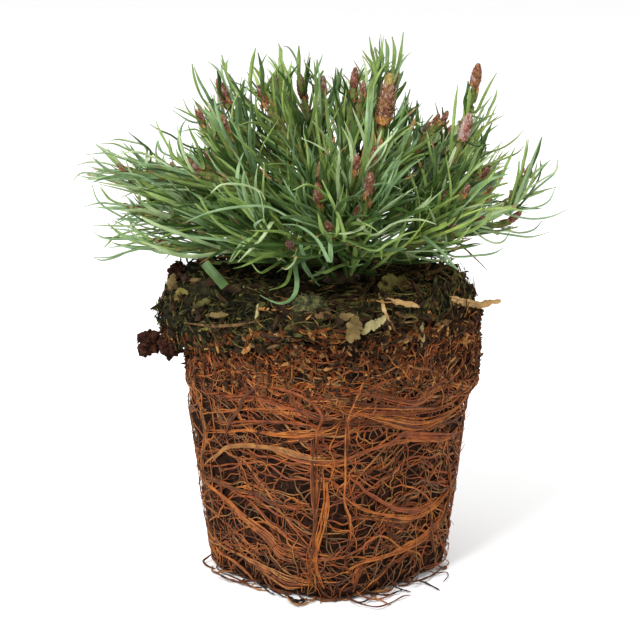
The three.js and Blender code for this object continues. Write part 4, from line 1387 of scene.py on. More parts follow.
def grow_shoots():
    """Every leafy shoot of the crown: its mass, its arc, whether it leads the mass, and whether it ends
    in the candle."""
    room = Room()
    room.claim("trunk", TRUNK_ARC, TRUNK_FOOT_RADIUS)
    leaders = []
    for bough in BOUGHS:
        whole = bough_arc(bough)
        wood = whole.stretch(0, (WOOD_LENGTH - CLEARANCE / 2) / bough[5])
        room.claim("bough_" + bough[0], wood.stretch(0.35, 1), BOUGH_FOOT_RADIUS)
        leaders.append(whole.stretch((WOOD_LENGTH + CLEARANCE / 2) / bough[5], 1))
    _, _, azimuth, rise, bend, length, _ = LEADER
    top = TRUNK_ARC.at(1) + UP * 3 * CLEARANCE
    leaders.append(Arc(top, direction(azimuth, rise), direction(azimuth, rise + 90), bend, length))
    masses = [*BOUGHS, LEADER]
    for mass, leader in zip(masses, leaders):
        room.claim(mass[0], leader, SHOOT_RADIUS, stem=True)
    shoots = []
    for index, (mass, leader) in enumerate(zip(masses, leaders)):
        name, sides, draw = mass[0], mass[-1], seeded(SEED + index)
        grown = [(name, leader, True, name == CANDLE_MASS)]
        for i in range(sides):
            for _attempt in range(8):
                arc = side_shoot(leader, draw, i, sides)
                sinks = arc.heading(0)[2] < leader.heading(0)[2] - 0.15
                if sinks or not room.is_clear(name, arc, SHOOT_RADIUS + 1):
                    continue
                grown.append((name, arc, False, False))
                room.claim(name, arc, SHOOT_RADIUS, stem=True)
                break
        for _, arc, _, candle in grown:
            room.claim(name, bud_arc(arc, candle), 0.8 * (CANDLE_RADIUS if candle else BUD_RADIUS))
        shoots += grown
    return shoots


# ---------------------------------------------------------------- foliage

MASS_NODES = [name for name in NODES if name.startswith("mass_")]


def needle_tint(name, colours, roughness=0.42, specular=0.45):
    return surface("needle_" + name, colours, 9, roughness=roughness, bump=0.12, specular=specular)


def scale_tint(name, colours, patch=1.2, roughness=0.55, bump=0.5, specular=0.3):
    return surface(name, colours, patch, 0.3, roughness, bump, specular)


# The needles' tints. Blue, green and spring are the needles' own colours; deep is a darker, duller copy of
# them that paints shade on the needles that get it, and pale a lighter copy that paints highlight.
NEEDLE_TINTS = {
    "blue": needle_tint("blue", [0x607F50, 0x779664, 0x90AD7D]),
    "green": needle_tint("green", [0x66803A, 0x7B9649, 0x92AC5F]),
    "deep": needle_tint("deep", [0x2A4016, 0x3A5420, 0x4C6A2C], roughness=0.5, specular=0.3),
    "spring": needle_tint("spring", [0x788C3C, 0x90A44E, 0xA8BA66]),
    "pale": needle_tint("pale", [0x889E6A, 0xA2B782, 0xBACC9A], roughness=0.44),
}
NEEDLE_TIP = surface("needle_tip", [0x6E5230, 0x8F6C42, 0xAA8A5C], 3, roughness=0.6)
SHEATH = surface("needle_sheath", [0x565A2A, 0x72703A, 0x958250], 2, 0.4, roughness=0.75, bump=0.5)
BRACT = surface("bract", [0x7E4620, 0xA46C3C, 0xC29A6C], 2, 0.4, roughness=0.7, bump=0.5)
STEM = surface("shoot_stem", [0x455024, 0x5A6830, 0x72803E, 0x686034], 3, 0.6, roughness=0.7, bump=0.7)
BUD_CORE = surface("bud_core", [0x4A1D10, 0x6A2C18, 0x7E3B22], 2, 0.4, roughness=0.6, bump=0.4)
BUD_SCALE = scale_tint("bud_scale", [0x5C2C28, 0x7E463E, 0x9A6258, 0xB68A80], patch=1.4, roughness=0.5)
BROWN_SCALE = scale_tint("brown_scale", [0x4C2816, 0x6E4026, 0x8A5C3A, 0xAE8664])
CANDLE_SCALE = scale_tint("candle_scale", [0x4E2A18, 0x7C5036, 0xA67C58, 0xD0B08A])
BUD_RESIN = scale_tint("bud_resin", [0x96705F, 0xB3948A, 0xCFBDB4], roughness=0.35, bump=0.3, specular=0.5)
CANDLE_TOP = scale_tint("candle_top", [0x8A7A3C, 0xB09C56, 0xCCB878], patch=2, roughness=0.5, bump=0.4)
CANDLE_FOOT = scale_tint("candle_foot", [0xA4642E, 0xC68C4C, 0xDCAE74], patch=2, roughness=0.5, bump=0.4)


def bent_headings(ahead, aside, turn, curl, hook, sway, stops):
    """Headings of curves that leave along ahead, turn towards aside all the way, sway once to and fro
    and hook towards curl at their ends. turn and hook are in radians, and stops are the shares of the
    length where points lie."""
    middle = (stops[1:] + stops[:-1]) / 2
    a = (turn[:, None] * middle)[..., None]
    late = (hook[:, None] * middle**3)[..., None]
    wave = sway[:, None] * np.sin(2 * np.pi * middle)[:, None]
    return unit(ahead[:, None] * np.cos(a) + aside[:, None] * np.sin(a) + curl[:, None] * late + wave)


def laid_out(roots, headings, length, stops):
    """The curves that follow headings for their lengths."""
    moves = headings * (length[:, None] * np.diff(stops))[..., None]
    return np.concatenate([roots[:, None], roots[:, None] + np.cumsum(moves, axis=1)], axis=1)


# The crown's outline from the front, seen 13 degrees from above: x, and the height in that view,
# which is z cos 13 + y sin 13. The upper one runs over the needle tips and through the notches
# between the sprays, and the lower one is where the needles hang to.
CROWN_UPPER = [
    (-118, 174), (-111, 175), (-106, 182), (-104, 180), (-100, 187), (-95, 184), (-88, 192), (-83, 186),
    (-78, 186), (-74, 184), (-70, 182), (-65, 184), (-62, 186), (-58, 189), (-55, 196), (-53, 208),
    (-50, 217), (-47, 226), (-41, 218), (-37, 213), (-32, 229), (-27, 215), (-22, 231), (-18, 222),
    (-13, 230), (-8, 226), (-5, 224), (-1, 214), (4, 220), (9, 217), (13, 223), (16, 224), (19, 234),
    (21, 228), (24, 236), (28, 224), (33, 236), (34, 214), (38, 204), (42, 199), (46, 201), (50, 193),
    (54, 191), (57, 197), (60, 204), (65, 206), (69, 207), (73, 206), (75, 196), (77, 184), (79, 174),
    (82, 170), (85, 173), (88, 183), (93, 183), (96, 172), (101, 170), (103, 158),
]
# Its side edges, as the same height and x. Only EDGE_NEEDLES reach past them.
CROWN_LEFT = [(132, -96), (150, -99), (159, -102), (166, -98), (173, -106), (180, -103), (190, -98)]
CROWN_RIGHT = [(134, 60), (141, 70), (148, 86), (158, 95), (168, 93), (180, 94), (190, 88), (200, 74)]
CROWN_LOWER = [
    (-118, 139), (-92, 139), (-78, 138), (-72, 134), (-56, 130), (-39, 129), (-29, 126), (-12, 124),
    (1, 124), (10, 124), (23, 127), (31, 130), (45, 132), (56, 133), (62, 139), (78, 144), (86, 147),
    (93, 149), (102, 156),
]
# Gaps of open sky between the sprays, by the places round their edges in the front view. Only
# NAMED_NEEDLES and EDGE_NEEDLES cross them.
SKY_GAPS = [
    [(76.8, 180.6), (79.9, 181.9), (83.9, 179.7), (83.4, 170), (80.8, 163), (76.4, 162.1),
     (75.1, 168.3), (77.3, 171.8), (75.5, 177.1)],
    [(84.3, 162.5), (95.3, 165.6), (98.4, 166.5), (96.6, 162.1), (90.9, 159.9), (83.4, 159)],
    [(75.5, 152.4), (93.1, 152.9), (101.9, 156.8), (95.3, 152.4), (90.9, 148), (82.1, 148.5)],
    [(51.7, 210.5), (54.4, 212.3), (58.3, 206.1), (57.5, 197.3), (54.4, 192), (51.7, 195.1)],
    [(-105.8, 169.1), (-101.8, 170), (-97, 167.8), (-91.7, 166.5), (-85.1, 164.7), (-78.5, 162.5),
     (-75, 161.7), (-79.4, 160.8), (-89.5, 161.2), (-97, 161.7), (-101.4, 163)],
    [(-110.2, 157.7), (-100.5, 159.5), (-92.6, 158.1), (-88.2, 156.8), (-92.6, 154.6), (-96.1, 152.4),
     (-102.7, 152.4)],
    [(-107.1, 149.8), (-101.4, 148.9), (-95.2, 147.1), (-88.2, 148), (-92.6, 146.3), (-100.5, 146.3)],
    [(-100.5, 144.5), (-93.5, 145.4), (-87.3, 144.5), (-92.6, 142.7), (-98.7, 141)],
    [(-100.5, 140.5), (-92.6, 141.4), (-86.4, 140.5), (-95.2, 137.5), (-101.4, 137.5)],
    [(59.2, 145.4), (62.3, 146.3), (66.7, 145.4), (64.9, 142.7), (60.5, 143.2)],
    [(71.1, 167.8), (74.6, 169.1), (77.7, 166.5), (75.5, 163.9), (72, 164.7)],
    [(68, 186.7), (70.7, 193.8), (72.9, 191.1), (75.1, 185), (71.1, 183.7)],
    [(40.7, 191.1), (44.7, 195.5), (45.6, 193.8), (42.1, 189.4)],
    [(66.7, 159.5), (72, 162.1), (79.9, 162.1), (73.7, 159.5), (68, 157.7)],
    [(69.8, 151.1), (75.1, 153.3), (79, 152.4), (75.5, 149.3), (70.7, 149.3)],
    [(29.7, 210.5), (31.5, 216.7), (34.6, 220.6), (35.9, 217.5), (33.3, 210.5)],
    [(-59.6, 200.8), (-56.5, 203), (-53.4, 199.1), (-55.2, 196.9), (-58.3, 198.2)],
    [(-58.7, 187.2), (-56.5, 185.9), (-51.7, 184.1), (-53, 182.3), (-56.9, 183.7)],
]


def along_outline(x, outline):
    return np.interp(x, *zip(*outline))


def in_sky_gap(x, height):
    """Which places in the front view lie in one of the gaps."""
    found = np.zeros(x.shape, bool)
    for corners in SKY_GAPS:
        inside = np.zeros(x.shape, bool)
        for (x1, y1), (x2, y2) in zip(corners, corners[1:] + corners[:1]):
            if y1 != y2:
                spans = (height > y1) != (height > y2)
                inside ^= spans & (x < x1 + (height - y1) * (x2 - x1) / (y2 - y1))
        found |= inside
    return found


def clear_of_solids(paths, rng):
    """Which needles keep out of the crust and off the trunk, and above the crown's underside."""
    x, y, z = paths[..., 0], paths[..., 1], paths[..., 2]
    inside = np.hypot(x, y) < crust_edge(np.arctan2(y, x)) + 0.5
    sunk = inside & (z < crust_top(x, y) + 0.4)
    spare = rng.exponential(SPARE_BELOW, (len(paths), 1))
    view_x, height = in_view(paths)
    hanging = (y < 10) & (height < along_outline(view_x, CROWN_LOWER) + spare)
    low = hanging | ~inside & (z < CRUST_TOP)
    share = np.clip((z - TRUNK_FOOT[2]) / TRUNK_LENGTH, 0, 1)
    off_trunk = np.linalg.norm(paths - TRUNK_ARC.at(share), axis=-1)
    touching = (off_trunk < trunk_radius(share) + TRUNK_MARGIN) & (z < TRUNK_FOOT[2] + TRUNK_LENGTH)
    return ~np.any(sunk | low | touching, axis=1)


def clear_of_buds(paths, buds):
    """Which needles run through no bud, and not close before one that shows from the front."""
    clear = np.ones(len(paths), bool)
    for axis, radius, shown in buds:
        start, end = axis.at(0.1), axis.at(1)
        near = segment_gaps(paths[:, 1:-1], paths[:, 2:], start, end) < radius + BUD_MARGIN
        clear &= ~np.any(near, axis=1)
        if shown:
            line = [np.stack([*in_view(p), 0]) for p in (start, end)]
            seen = np.stack([*in_view(paths), 0 * paths[..., 0]], -1)
            before = (paths[:, 1:-1, 1] < start[1]) | (paths[:, 2:, 1] < start[1])
            over = segment_gaps(seen[:, 1:-1], seen[:, 2:], *line) < radius + SHOWN_MARGIN
            clear &= ~np.any(before & over, axis=1)
    return clear


def trimmed_length(paths, length, rng):
    """Needle lengths cut back so that few tips reach the crown's outline and none passes it."""
    spare = rng.exponential(SPARE_ABOVE, (len(paths), 1))
    x, height = in_view(paths)
    over = height > along_outline(x, CROWN_UPPER) - spare - 1
    over |= x < along_outline(height, CROWN_LEFT) + 0.5 * spare
    over |= x > along_outline(height, CROWN_RIGHT) - 0.5 * spare
    over |= in_sky_gap(x, height)
    first = np.where(over.any(axis=1), over.argmax(axis=1), paths.shape[1] - 1)
    return length * NEEDLE_STOPS[first]


# How often each tint of NEEDLE_TINTS is dealt to a shoot's pairs of needles, for its outer part (by where
# its tip shows from the front) and its inner part. The deals paint light and shade: the inner part, and the
# outer part of low shoots at the front, get mostly the dark deep tint as painted shade, and the outer part of
# shoots on the far left and on the right more of the pale tint as painted highlight (on the right also more
# of the yellower spring tint, which is the needles' own colour).
TINT_NAMES = list(NEEDLE_TINTS)
OUTER_DEAL = [0.28, 0.31, 0.11, 0.08, 0.22]
SHADED_INNER_DEAL = [0.14, 0.28, 0.52, 0.03, 0.03]
LIT_LEFT_DEAL = [0.3, 0.3, 0.02, 0.06, 0.32]
SHADED_LOW_DEAL = [0.18, 0.27, 0.49, 0.01, 0.05]
RIGHT_DEAL = [0.14, 0.22, 0.04, 0.18, 0.42]
FAR_LEFT, RIGHT_SIDE = -62, 30
LOW_REACH, LOW_HEIGHT = 50, 163
NEEDLE_STOPS = 1 - (1 - np.linspace(0, 1, 12)) ** 1.25  # where its points lie, in shares of its length
TIP_STOPS = 3  # of those, how many a brown tip covers


def square_to(v, axis, length=False):
    """The part of v at right angles to axis, as a unit vector or with its length kept."""
    flat = v - axis * np.sum(v * axis, axis=-1, keepdims=True)
    return flat if length else unit(flat)


class Foliage:
    """The meshes that the needles go into: one for each tint, their sheaths and their brown tips."""

    def __init__(self):
        self.needles = {tint: Batch() for tint in NEEDLE_TINTS}
        self.sheaths, self.tips = Batch(), Batch()


class Pairs:
    """The pairs of needles of one shoot, from its tip down: where each leaves it, and which way. They
    leave it nearly along it and fan out the more the lower they grow."""

    def __init__(self, arc, count, rng):
        index = np.arange(count)
        self.count = count
        self.down = down = (index + rng.uniform(0.1, 0.9, count)) / count
        at = lerp(0.95, 0.05, down)
        ahead = arc.heading(at)
        outward = across(ahead, index * GOLDEN_ANGLE + 60 * (rng.uniform(size=count) - 0.5))
        self.below = np.maximum(0, -outward[:, 2])
        splay = lerp(*NEEDLE_SPLAY, down) + rng.normal(0, 9, count)
        splay = np.radians(np.maximum(8, splay * (1 - 0.3 * self.below)))
        self.low = smoothstep(-arc.heading(0.5)[2], -0.6, -0.3)
        cos, sin = np.cos(splay)[:, None], np.sin(splay)[:, None]
        self.heading = ahead * cos + outward * sin
        self.inward = ahead * sin - outward * cos
        self.broad = np.cross(self.heading, self.inward)
        share = lerp(lerp(0.66, 0.95, self.low), 1.06, np.minimum(1, 1.8 * down))
        self.length = NEEDLE_LENGTH * share * rng.uniform(0.74, 1.14, count)
        self.root = arc.at(at) + outward * (lerp(SHOOT_RADIUS, SHOOT_TIP_RADIUS, at) - 0.5)[:, None]


def add_sheaths(batch, pairs, rng):
    paths = pairs.root[:, None] + pairs.heading[:, None] * (SHEATH_LENGTH * np.linspace(0, 1, 4)[:, None])
    fine = clear_of_solids(paths, rng)
    swell = SHEATH_RADIUS * np.array([1.05, 1.1, 1, 0.8])
    add_tubes(batch, paths[fine], swell, round_section(6), pairs.broad[fine][:, None])


def deal_tints(arc, pairs, rng):
    """The tint of each pair, by how far down the shoot it grows and where the tip shows in front. The inner
    pairs, and the outer ones of low shoots at the front, get mostly the darker tint as painted shade, and the
    outer ones on the far left and on the right more of the paler tint as painted highlight.
    """
    tip_x, tip_height = in_view(arc.at(1))
    outer_deal = LIT_LEFT_DEAL if tip_x < FAR_LEFT else RIGHT_DEAL if tip_x > RIGHT_SIDE else OUTER_DEAL
    if FAR_LEFT < tip_x < LOW_REACH and tip_height < LOW_HEIGHT:
        outer_deal = SHADED_LOW_DEAL
    deal = np.where((pairs.down < 0.55)[:, None], outer_deal, SHADED_INNER_DEAL)
    return np.array([rng.choice(len(TINT_NAMES), p=row) for row in deal])


def partner_paths(pairs, partner, rng):
    """The paths of one needle of every pair, cut back to the crown's outline, and which of them are
    long enough to show. Those on the underside turn up to the light."""
    count, heading, broad = pairs.count, pairs.heading, pairs.broad
    part = np.radians(rng.uniform(2, 9, count))[:, None] * partner
    away = unit(heading * np.cos(part) + broad * np.sin(part))
    lean = pairs.inward * rng.normal(0.35, 0.6, (count, 1)) + broad * rng.normal(0, 0.6, (count, 1))
    lean = square_to(lean + UP * (0.3 - 0.2 * pairs.low + 0.4 * pairs.below[:, None]), away)
    turn = np.radians(rng.uniform(4, 44, count))
    curl = square_to(rng.normal(size=(count, 3)) + 0.2 * UP, away)
    hook = np.abs(rng.normal(0, NEEDLE_HOOK, count))
    sway = square_to(rng.normal(0, NEEDLE_SWAY, (count, 3)), away, length=True)
    start = pairs.root + heading * 0.4 * SHEATH_LENGTH + broad * (0.28 * partner)
    whole = pairs.length * rng.uniform(0.93, 1.05, count)
    headings = bent_headings(away, lean, turn, curl, hook, sway, NEEDLE_STOPS)
    cut = trimmed_length(laid_out(start, headings, whole, NEEDLE_STOPS), whole, rng)
    return laid_out(start, headings, cut, NEEDLE_STOPS), cut > LEAST_SHARE * whole


def partner_radii(count, rng):
    """Half widths along every needle: most end in a point, and a few are blunt."""
    width = NEEDLE_HALF_WIDTH * rng.uniform(0.75, 1.2, (count, 1))
    blunt = rng.uniform(size=(count, 1)) < 0.12
    radii = width * np.minimum(1, 0.62 + 3 * NEEDLE_STOPS)
    radii = radii * lerp(1, np.where(blunt, 0.75, 0.3), smoothstep(NEEDLE_STOPS, 0.68, 1))
    radii[:, -1] *= np.where(blunt, 0.6, 0.35)[:, 0]
    return radii


def add_needles(foliage, arc, count, buds, rng):
    """The needles of one shoot, in pairs, each in a short sheath."""
    pairs = Pairs(arc, count, rng)
    add_sheaths(foliage.sheaths, pairs, rng)
    tint = deal_tints(arc, pairs, rng)
    brown = rng.uniform(size=count) < BROWN_SHARE
    face = pairs.broad[:, None] * np.ones((1, len(NEEDLE_STOPS), 1))
    for partner in (-1, 1):
        paths, long_enough = partner_paths(pairs, partner, rng)
        radii = partner_radii(count, rng)
        section = HALF_ROUND if partner == 1 else (HALF_ROUND * [1, -1])[::-1]
        kept = clear_of_solids(paths, rng) & clear_of_buds(paths, buds) & long_enough
        for number, name in enumerate(TINT_NAMES):
            chosen = kept & (tint == number)
            if np.any(chosen):
                add_tubes(foliage.needles[name], paths[chosen], radii[chosen], section, face[chosen])
        chosen = kept & brown
        if np.any(chosen):
            ends, end_radii = paths[chosen, -TIP_STOPS:], 1.05 * radii[chosen, -TIP_STOPS:]
            add_tubes(foliage.tips, ends, end_radii, section, face[chosen, -TIP_STOPS:])


def stem_tube(batch, arc, foot_radius):
    """A leafy shoot's stem, rough with the feet of its needles."""

    def knobbly_radius(t, turn):
        knobs = 0.16 * np.sin(5 * turn + 34 * t * arc.length / 30) * np.sin(1.9 * arc.length * t)
        return lerp(foot_radius, SHOOT_TIP_RADIUS, t) * (1 + knobs)

    add_limb(batch, arc, 40, 10, knobbly_radius)


# A bud scale seen from outside, in shares of its half width and length, from foot to tip.
SCALE_OUTLINE = np.array([[-0.6, 0], [0.6, 0], [-1, 0.45], [1, 0.45], [-0.45, 0.8], [0.45, 0.8], [0, 1.1]])
SCALE_FACE = np.array([[0, 1, 3], [0, 3, 2], [2, 3, 5], [2, 5, 4], [4, 5, 6]])
SCALE_RIM = [0, 2, 4, 6, 5, 3, 1]
SCALE_SIDES = list(zip(SCALE_RIM, SCALE_RIM[1:] + SCALE_RIM[:1]))
SCALE_EDGE = [[a, b, a + 7] for a, b in SCALE_SIDES] + [[b, b + 7, a + 7] for a, b in SCALE_SIDES]
SCALE_TRIANGLES = np.concatenate([SCALE_FACE, SCALE_FACE[:, ::-1] + 7, np.array(SCALE_EDGE)])


def risen_bud(shoot):
    """A bud's axis as it grows: a little more upright than the shoot that it ends, and sometimes on a
    short neck."""
    axis = bud_arc(shoot.arc, shoot.candle)
    ahead = unit(axis.ahead + UP * (CANDLE_UPTURN if shoot.candle else BUD_UPTURN))
    return straight(axis.start + ahead * shoot.neck, ahead, axis.length)


class Bud:
    """A bud's form: its axis, length and largest radius."""

    def __init__(self, shoot):
        self.axis = risen_bud(shoot)
        self.size = 1 if shoot.candle else shoot.size
        self.length = self.axis.length * self.size
        if shoot.candle:
            self.widest = CANDLE_SLIMNESS * CANDLE_RADIUS
        else:
            self.widest = BUD_SLIMNESS * BUD_RADIUS * self.size * shoot.plump

    def radius(self, t):
        return self.widest * np.sin(np.pi * lerp(0.25, 1, t)) ** 0.6

    def aside(self, turn):
        """The unit vectors at right angles to the axis, turned by degrees round it."""
        return across(np.broadcast_to(self.axis.ahead, (*turn.shape, 3)), turn)

    def core(self):
        rings, sides = 14, 12
        t, turn = np.meshgrid(np.linspace(0, 0.995, rings), around(sides), indexing="ij")
        out = self.aside(np.degrees(turn)) * (0.92 * self.radius(t))[..., None]
        points = self.axis.start + self.axis.ahead * (self.length * t)[..., None] + out
        return points.reshape(-1, 3), tube_triangles(rings, sides)

    def scales(self, t, length, half_width, freedom):
        """Thin scales that wind up the bud from the shares t, whose tips stand off it by freedom."""
        wide = self.aside(np.arange(len(t)) * GOLDEN_ANGLE)
        beside = np.cross(np.broadcast_to(self.axis.ahead, (len(t), 3)), wide)
        half_width = half_width * self.size * np.clip(self.radius(t) / self.widest, 0.45, 1)
        v = SCALE_OUTLINE[:, 1]
        along = np.minimum(t[:, None] + v * (length * self.size) / self.length, 1.0)
        off = self.radius(along) + 0.12 + freedom * v**2
        sideways = SCALE_OUTLINE[:, 0] * half_width[:, None]
        sag = 0.5 * sideways**2 / np.maximum(off, 0.6)
        points = self.axis.start + self.axis.ahead * (self.length * along)[..., None]
        points = points + wide[:, None] * (off - sag)[..., None] + beside[:, None] * sideways[..., None]
        return np.concatenate([points, points - 0.16 * wide[:, None]], axis=1)


def add_bud(layers, shoot, rng):
    """A bud: a core, and scales that wind up it, each with its tip a little free and rimmed with resin."""
    bud, candle = Bud(shoot), shoot.candle
    layers["core"].add(*bud.core())
    count = CANDLE_SCALES if candle else BUD_SCALES
    t = np.linspace(0.0, 0.93, count)
    if candle:
        shells = bud.scales(t, length=2.8, half_width=0.8, freedom=rng.uniform(0.2, 1.5, (count, 1)))
    else:
        shells = bud.scales(t, length=2.4, half_width=1.05, freedom=0.34)
    rose = rng.uniform(size=count) < (CANDLE_ROSY_SHARE if candle else shoot.rosy)
    layer = np.where(rose, "scale", "candle" if candle else "brown").astype(object)
    layer[rng.uniform(size=count) < shoot.resin] = "resin"
    if candle:
        layer[t > CANDLE_TOP_START] = "candle_top"
        layer[t < CANDLE_FOOT_END] = "candle_foot"
    for name in sorted(set(layer)):
        layers[name].add(shells[layer == name], SCALE_TRIANGLES)


def add_bracts(batch, arc, rng):
    """Dry papery bracts round the foot of a bud, and a few lower down the shoot, save on the far left."""
    count = BRACTS
    lower = rng.uniform(size=count) > (1 if arc.at(1)[0] < FAR_LEFT else 0.6)
    at = np.where(lower, rng.uniform(0.1, 0.9, count), rng.uniform(0.93, 1.0, count))
    ahead = arc.heading(at)
    outward = across(ahead, rng.uniform(0, 360, count))
    places = arc.at(at) + outward * rng.uniform(1.4, 2.6, (count, 1)) + ahead * rng.uniform(0, 2, (count, 1))
    along = ahead + outward * rng.uniform(0, 0.9, (count, 1))
    add_chips(batch, rng, places, outward, along, (2.2, 5.0), (0.7, 1.5), (0.2, 0.4))


# Needles that catch the eye at the front: tint, half width, and the points that each one joins, from
# its root on a bough or shoot to its tip.
NAMED_NEEDLES = [
    ("blue", 1.0, [(-15, -28, 139), (-14.7, -37, 133), (-13.8, -50, 126), (-15, -60, 120),
     (-19.5, -65, 116.8), (-25, -66, 117.7), (-30, -66, 120.3)]),
    ("green", 0.8, [(-16, -28, 137), (-17, -38, 129.5), (-19.5, -50, 124.7), (-26, -56, 122.5)]),
    ("blue", 1.0, [(-36, -34, 139), (-29, -36, 139), (-22, -40, 137), (-18.7, -44, 134.8)]),
    ("green", 0.9, [(-20, -36, 136), (-25, -42, 132.6), (-30, -46, 130.4), (-35, -46, 136)]),
    ("blue", 1.1, [(-18.7, -36, 148.5), (-13.4, -38, 140), (-7.2, -38, 128.7), (-4, -36, 124.3)]),
    ("blue", 1.1, [(41, -10, 146), (46, -12, 139.7), (52, -14, 134.8), (57, -14, 131.3)]),
    ("green", 1.0, [(28.4, -28, 147.6), (25, -28, 142.7), (20, -26, 138.3), (12, -20, 128.7)]),
    ("deep", 1.0, [(37.7, -30, 149), (31, -28, 141.4), (25, -22, 131.3)]),
    ("blue", 1.0, [(-34.5, -44, 145.4), (-39.8, -47, 141.4), (-43.7, -46, 134.8)]),
    ("deep", 1.1, [(8, -24, 128), (5, -32, 140), (0, -36, 154), (-1, -36, 168)]),
    ("green", 1.1, [(10, -24, 129), (12, -34, 142), (10, -42, 154), (13, -46, 165)]),
    ("deep", 1.0, [(4, -26, 127), (-4, -34, 136), (-12, -40, 148), (-17, -42, 160)]),
    ("deep", 1.1, [(14, -24, 130), (20, -34, 139), (21, -40, 152), (18, -44, 164)]),
    ("deep", 1.0, [(1, -24, 127), (1, -32, 138), (-6, -36, 150), (-5, -40, 163)]),
    ("green", 1.0, [(17, -22, 130), (26, -34, 137), (32, -42, 147), (35, -48, 156)]),
]
# Dead, red-brown needles at the front, placed in the same way.
DEAD_NEEDLES = [
    (0.9, [(16, -30, 185), (15, -32, 180), (11, -34, 172)]),
    (0.6, [(3, -30, 190), (0, -32, 184), (-4, -33, 181)]),
    (0.6, [(-30, -30, 176), (-26, -32, 172), (-20, -33, 170)]),
]
